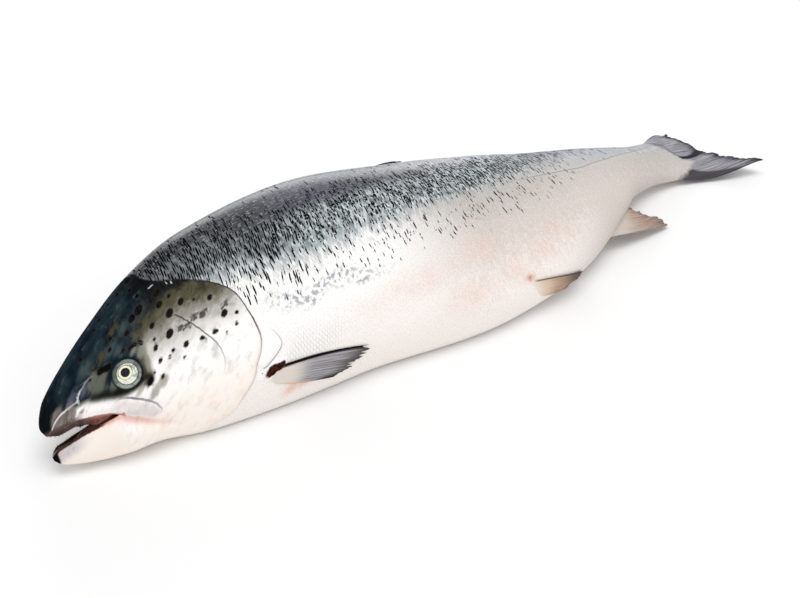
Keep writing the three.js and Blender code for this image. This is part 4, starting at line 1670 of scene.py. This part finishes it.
# %% Fin materials
def fin_paint(name, root, web, tip, ray, root_ends=0.3, extra=None):
    """Root, web and margin colours, streaked along the rays."""
    p = Paint(name)
    out, across, line = p.field("out"), p.field("across"), p.field("line")
    streak = p.noise(p.vector(across * 34.0, out * 2.2), 1.0, 5.0, 0.65)
    fine = p.noise(p.vector(across * 120.0, out * 6.0, 4.0), 1.0, 2.0)
    far = out + (streak - 0.5) * 0.35
    strength = out.step(root_ends * 0.5, root_ends * 1.2)
    colour = p.over(
        root,
        (web, far.step(root_ends * 0.3, root_ends)),
        (tip, far.step(0.7, 1.0)),
        (ray, (streak.step(0.48, 0.68) * 0.55 + line * 0.5) * strength),
        ((214, 212, 212), streak.step(0.46, 0.34) * 0.3 * strength))
    if extra:
        colour = extra(p, colour, out, across, streak)
    normal = p.bump(streak + fine * 0.4, 0.35, 0.0006)
    return p.finish(Base_Color=colour, Roughness=0.45, Coat_Weight=0.06, Coat_Roughness=0.2,
                    Normal=normal, Specular_IOR_Level=0.0)


def pectoral_extra(p, colour, out, across, streak):
    """A dark leading edge, a pale root and a torn brown corner."""
    shade = across + (streak - 0.5) * 0.2
    pale = (out + (streak - 0.5) * 0.3).step(0.52, 0.2)
    warm = shade.step(0.74, 0.95) * out.step(0.15, 0.3) * out.step(0.74, 0.5)
    lead = across - 0.11 * (1 - out) * (1 - out)
    return p.over(
        colour,
        ((226, 216, 208), pale),
        ((233, 190, 166), warm * 0.85),
        ((58, 48, 46), shade.step(0.6, 0.9) * out.step(0.62, 0.88)),
        ((20, 12, 12), lead.step(0.08, 0.03)),
        ((242, 232, 224), out.step(0.08, 0.0) * across.step(0.4, 0.6)))


def pelvic_extra(p, colour, out, across, streak):
    """A grey tip, a reddish rear corner, and a painted shadow along the leading edge."""
    tip = across.step(0.75, 0.2) * out.step(0.42, 0.85)
    corner = across.step(0.7, 0.95) * out.step(0.5, 0.75)
    # painted shadow: the leading edge is painted dark, where the fin's edge throws its shade
    slit = across.step(0.1, 0.03) * out.step(0.03, 0.12)
    return p.over(colour, ((104, 95, 90), tip * 0.9), ((178, 108, 96), corner * 0.7),
                  ((240, 229, 220), out.step(0.2, 0.0)), ((70, 56, 50), slit * 0.95))


def anal_extra(p, colour, out, across, streak):
    """Red streaks near the margin and a browner rear edge."""
    red = streak.step(0.56, 0.68) * out.step(0.5, 0.72)
    rear = across.step(0.6, 0.95) * out.step(0.1, 0.5)
    return p.over(colour, ((118, 62, 54), red * 0.75), ((176, 142, 126), rear * 0.6))


def tail_extra(p, colour, out, across, streak):
    """The lower band, the fold's dark wedge (partly painted shade), the dark margin and the scaly
    flesh at the root.
    """
    margin = (out + (streak - 0.5) * 0.4).step(0.84, 0.98)
    scaly = p.mix((212, 203, 197), (180, 178, 180), streak)
    return p.over(
        colour,
        (BAND_COLOUR, p.field("band").step(-1.5, 2.5) * 0.9),
        # the fold: a dark wedge, partly the fin's own dark colour and partly painted shade where
        # the web folds over
        ((22, 20, 34), p.field("fold") * 0.95),
        ((50, 47, 56), margin * 0.85),
        (scaly, (p.field("flesh") + (streak - 0.5) * 8).step(-3, 3)))


FIN_COLOURS = {
    # root, web, margin, rays, then where the root's colour ends and the fin's extras
    "dorsal": ((84, 86, 94), (46, 46, 54), (36, 34, 40), (30, 30, 38)),
    "adipose": ((160, 162, 170), (130, 130, 138), (90, 90, 98), (110, 110, 118)),
    "anal": ((200, 189, 179), (178, 160, 148), (142, 130, 120), (142, 104, 92), 0.6,
             anal_extra),
    "tail": ((166, 164, 169), (154, 152, 159), (100, 97, 106), (76, 74, 84), 0.3, tail_extra),
    "pectoral": ((226, 216, 208), (170, 168, 173), (74, 66, 62), (104, 98, 98), 0.5,
                 pectoral_extra),
    "pelvic": ((226, 204, 182), (190, 162, 138), (140, 122, 110), (160, 130, 110), 0.5,
               pelvic_extra),
}
FIN_PAINTS = {name + "_fin": fin_paint(name + "_paint", *colours)
              for name, colours in FIN_COLOURS.items()}
print(len(FIN_PAINTS), "fin paints")


# %% Making the fins
def tail_masks(positions):
    """Masks of the tail: its fold, its dark lower band and the end of the flesh."""
    side = positions[:, (0, 2)]
    away, place = distance_to(np.array(TAIL_FOLD, float), side)
    return {"fold": np.exp(-(away / (1.5 + 5.5 * place)) ** 4) * smooth(0, 0.2, place),
            "band": tail_band(positions),
            "flesh": tail_flesh(positions)}


def make_fin(name, fin, place):
    """The web, and on it the rays where the fin has them, as one mesh."""
    points, faces, values = fin_web(fin, place)
    paint = FIN_PAINTS[name]
    if name == "tail_fin":
        values.update(tail_masks(points))
    web = mesh_object("salmon_" + name, lay(points), faces, [paint], values)
    if fin["rays"]:
        points, edges, values = fin_rays(fin, place)
        if name == "tail_fin":
            values.update(tail_masks(points))
        rays = line_object("rays", lay(points), edges, values)
        RAY_TREE.make(rays, {"Web": web, "Sides": 5, "Finish": paint})
        bpy.data.objects.remove(web)
        web = rays
        web.name = web.data.name = "salmon_" + name
    hand_over(web)


for fin_name, fin_shape in MIDDLE_FINS.items():
    make_fin(fin_name, fin_shape, middle_fin)
for fin_name, fin_shape in SIDE_FINS.items():
    make_fin(fin_name, fin_shape, side_fin)

# %% [markdown]
# ## Teeth
#
# A salmon has one row of small pointed teeth on each gum ridge. The tree puts a little cone
# on every given point, aims it and varies its size, so the rim of the mouth looks ragged.

# %% The tree that makes teeth
def tooth_tree():
    tree = Tree("teeth", {"Height": "Float", "Width": "Float", "Seed": "Int",
                          "Finish": "Material"})
    cone = tree.node("GeometryNodeMeshCone", {},
                     {"Vertices": 7, "Radius Top": 0.0, "Radius Bottom": tree.given("Width"),
                      "Depth": tree.given("Height")}, "Mesh")
    aim = tree.node("GeometryNodeInputNamedAttribute", {"data_type": "FLOAT_VECTOR"},
                    {"Name": "aim"})
    turn = tree.node("FunctionNodeAlignRotationToVector", {"axis": "Z"}, {"Vector": aim})
    size = tree.node("FunctionNodeRandomValue", {"data_type": "FLOAT"},
                     {2: 0.6, 3: 1.25, "Seed": tree.given("Seed")}, 1)
    teeth = tree.node("GeometryNodeInstanceOnPoints", {},
                      {"Points": tree.given("Geometry"), "Instance": cone, "Rotation": turn,
                       "Scale": size})
    tree.finish(teeth, tree.given("Finish"))
    return tree


def tooth_material():
    p = Paint("salmon_teeth")
    cloud = p.noise(p.place(), 900.0, 2.0)
    colour = p.mix((120, 84, 74), (74, 40, 36), cloud.step(0.45, 0.6))
    return p.finish(Base_Color=colour, Roughness=0.3, Coat_Weight=0.3)


TEETH_FROM, TEETH_TO, TOOTH_SPACING = 5, 42, 2.1
TOOTH_HEIGHT, TOOTH_WIDTH = 0.9, 0.35


def tooth_row(grid, upward):
    """Points on the crest of a gum ridge, and the way their teeth point."""
    column = int(np.argmin(np.abs(MOUTH_ACROSS[0] - GUM_AT)))
    places, aims = [], []
    for side in (column, 2 * MOUTH_COLUMNS - column):
        crest = grid[:, side]
        for at in np.arange(TEETH_FROM, TEETH_TO, TOOTH_SPACING):
            place = np.array([np.interp(at, crest[:, 0], crest[:, k]) for k in range(3)])
            aim = np.array([-0.15, 0.2 * np.sign(place[1]), upward])
            places.append(place)
            aims.append(lay(place + aim) - lay(place))
    return np.array(places), np.array(aims)


def make_teeth():
    top, top_aim = tooth_row(ROOF, -1.0)
    low, low_aim = tooth_row(FLOOR, 1.0)
    host = line_object("salmon_teeth", lay(np.vstack([top, low])), [],
                       {"aim": np.vstack([top_aim, low_aim])})
    tooth_tree().make(host, {"Height": TOOTH_HEIGHT * MM, "Width": TOOTH_WIDTH * MM,
                             "Seed": 5, "Finish": tooth_material()})
    hand_over(host)


make_teeth()

# %% [markdown]
# ## Table, light and camera
#
# The fish lies on a plain pale table in soft studio light. One very large soft light hangs
# over it, a smaller one stands behind, and a weak one lifts the shadows in front. The white
# room adds an even light from all sides.

# %% Table and lights
def table():
    paint = Paint("pale_table").finish(Base_Color=(0.87, 0.87, 0.87, 1.0), Roughness=0.9,
                                       Specular_IOR_Level=0.1)
    half, low = 6.0, -0.0004
    mesh = bpy.data.meshes.new("table")
    mesh.from_pydata([(-half, -half, low), (half, -half, low), (half, half, low),
                      (-half, half, low)], [], [(0, 1, 2, 3)])
    mesh.materials.append(paint)
    made = put_in_scene("table", mesh)


def soft_light(name, place, wide, high, watts):
    """A large lamp that faces the middle of the fish."""
    data = bpy.data.lights.new(name, "AREA")
    data.shape = "RECTANGLE"
    data.size, data.size_y = wide, high
    data.energy = watts
    made = put_in_scene(name, data)
    made.location = place
    made.rotation_euler = (-Vector(place)).to_track_quat("-Z", "Y").to_euler()


table()
soft_light("overhead_light", (-0.1, -0.1, 3.2), 2.6, 2.2, 54)
soft_light("back_light", (1.6, 2.1, 0.75), 3.4, 1.2, 28)
soft_light("front_light", (-0.9, -1.9, 0.9), 2.4, 1.2, 6)
world = bpy.data.worlds.new("studio")
world.use_nodes = True
background = world.node_tree.nodes["Background"]
background.inputs["Color"].default_value = (1, 1, 1, 1)
background.inputs["Strength"].default_value = 0.64
bpy.context.scene.world = world
bpy.context.scene.view_settings.view_transform = "Standard"

# %% Camera
CAMERA_PLACE = np.array([-144.3, -571.9, 519.1]) + MIDDLE
CAMERA_YAW, CAMERA_PITCH, CAMERA_ROLL = np.radians([39.44, 34.87, 1.28])
CAMERA_LENS = 46.31


def camera():
    forward = Vector((math.sin(CAMERA_YAW) * math.cos(CAMERA_PITCH),
                      math.cos(CAMERA_YAW) * math.cos(CAMERA_PITCH), -math.sin(CAMERA_PITCH)))
    level = Vector((math.cos(CAMERA_YAW), -math.sin(CAMERA_YAW), 0))
    above = level.cross(forward)
    right = level * math.cos(CAMERA_ROLL) + above * math.sin(CAMERA_ROLL)
    up = above * math.cos(CAMERA_ROLL) - level * math.sin(CAMERA_ROLL)
    data = bpy.data.cameras.new("camera")
    data.sensor_width = 36
    data.lens = CAMERA_LENS
    made = put_in_scene("camera", data)
    turn = Matrix((right, up, -forward)).transposed()
    made.matrix_world = Matrix.Translation(Vector(CAMERA_PLACE * MM)) @ turn.to_4x4()
    bpy.context.scene.camera = made


camera()
print("camera stands at", [round(float(c) * MM, 3) for c in CAMERA_PLACE])
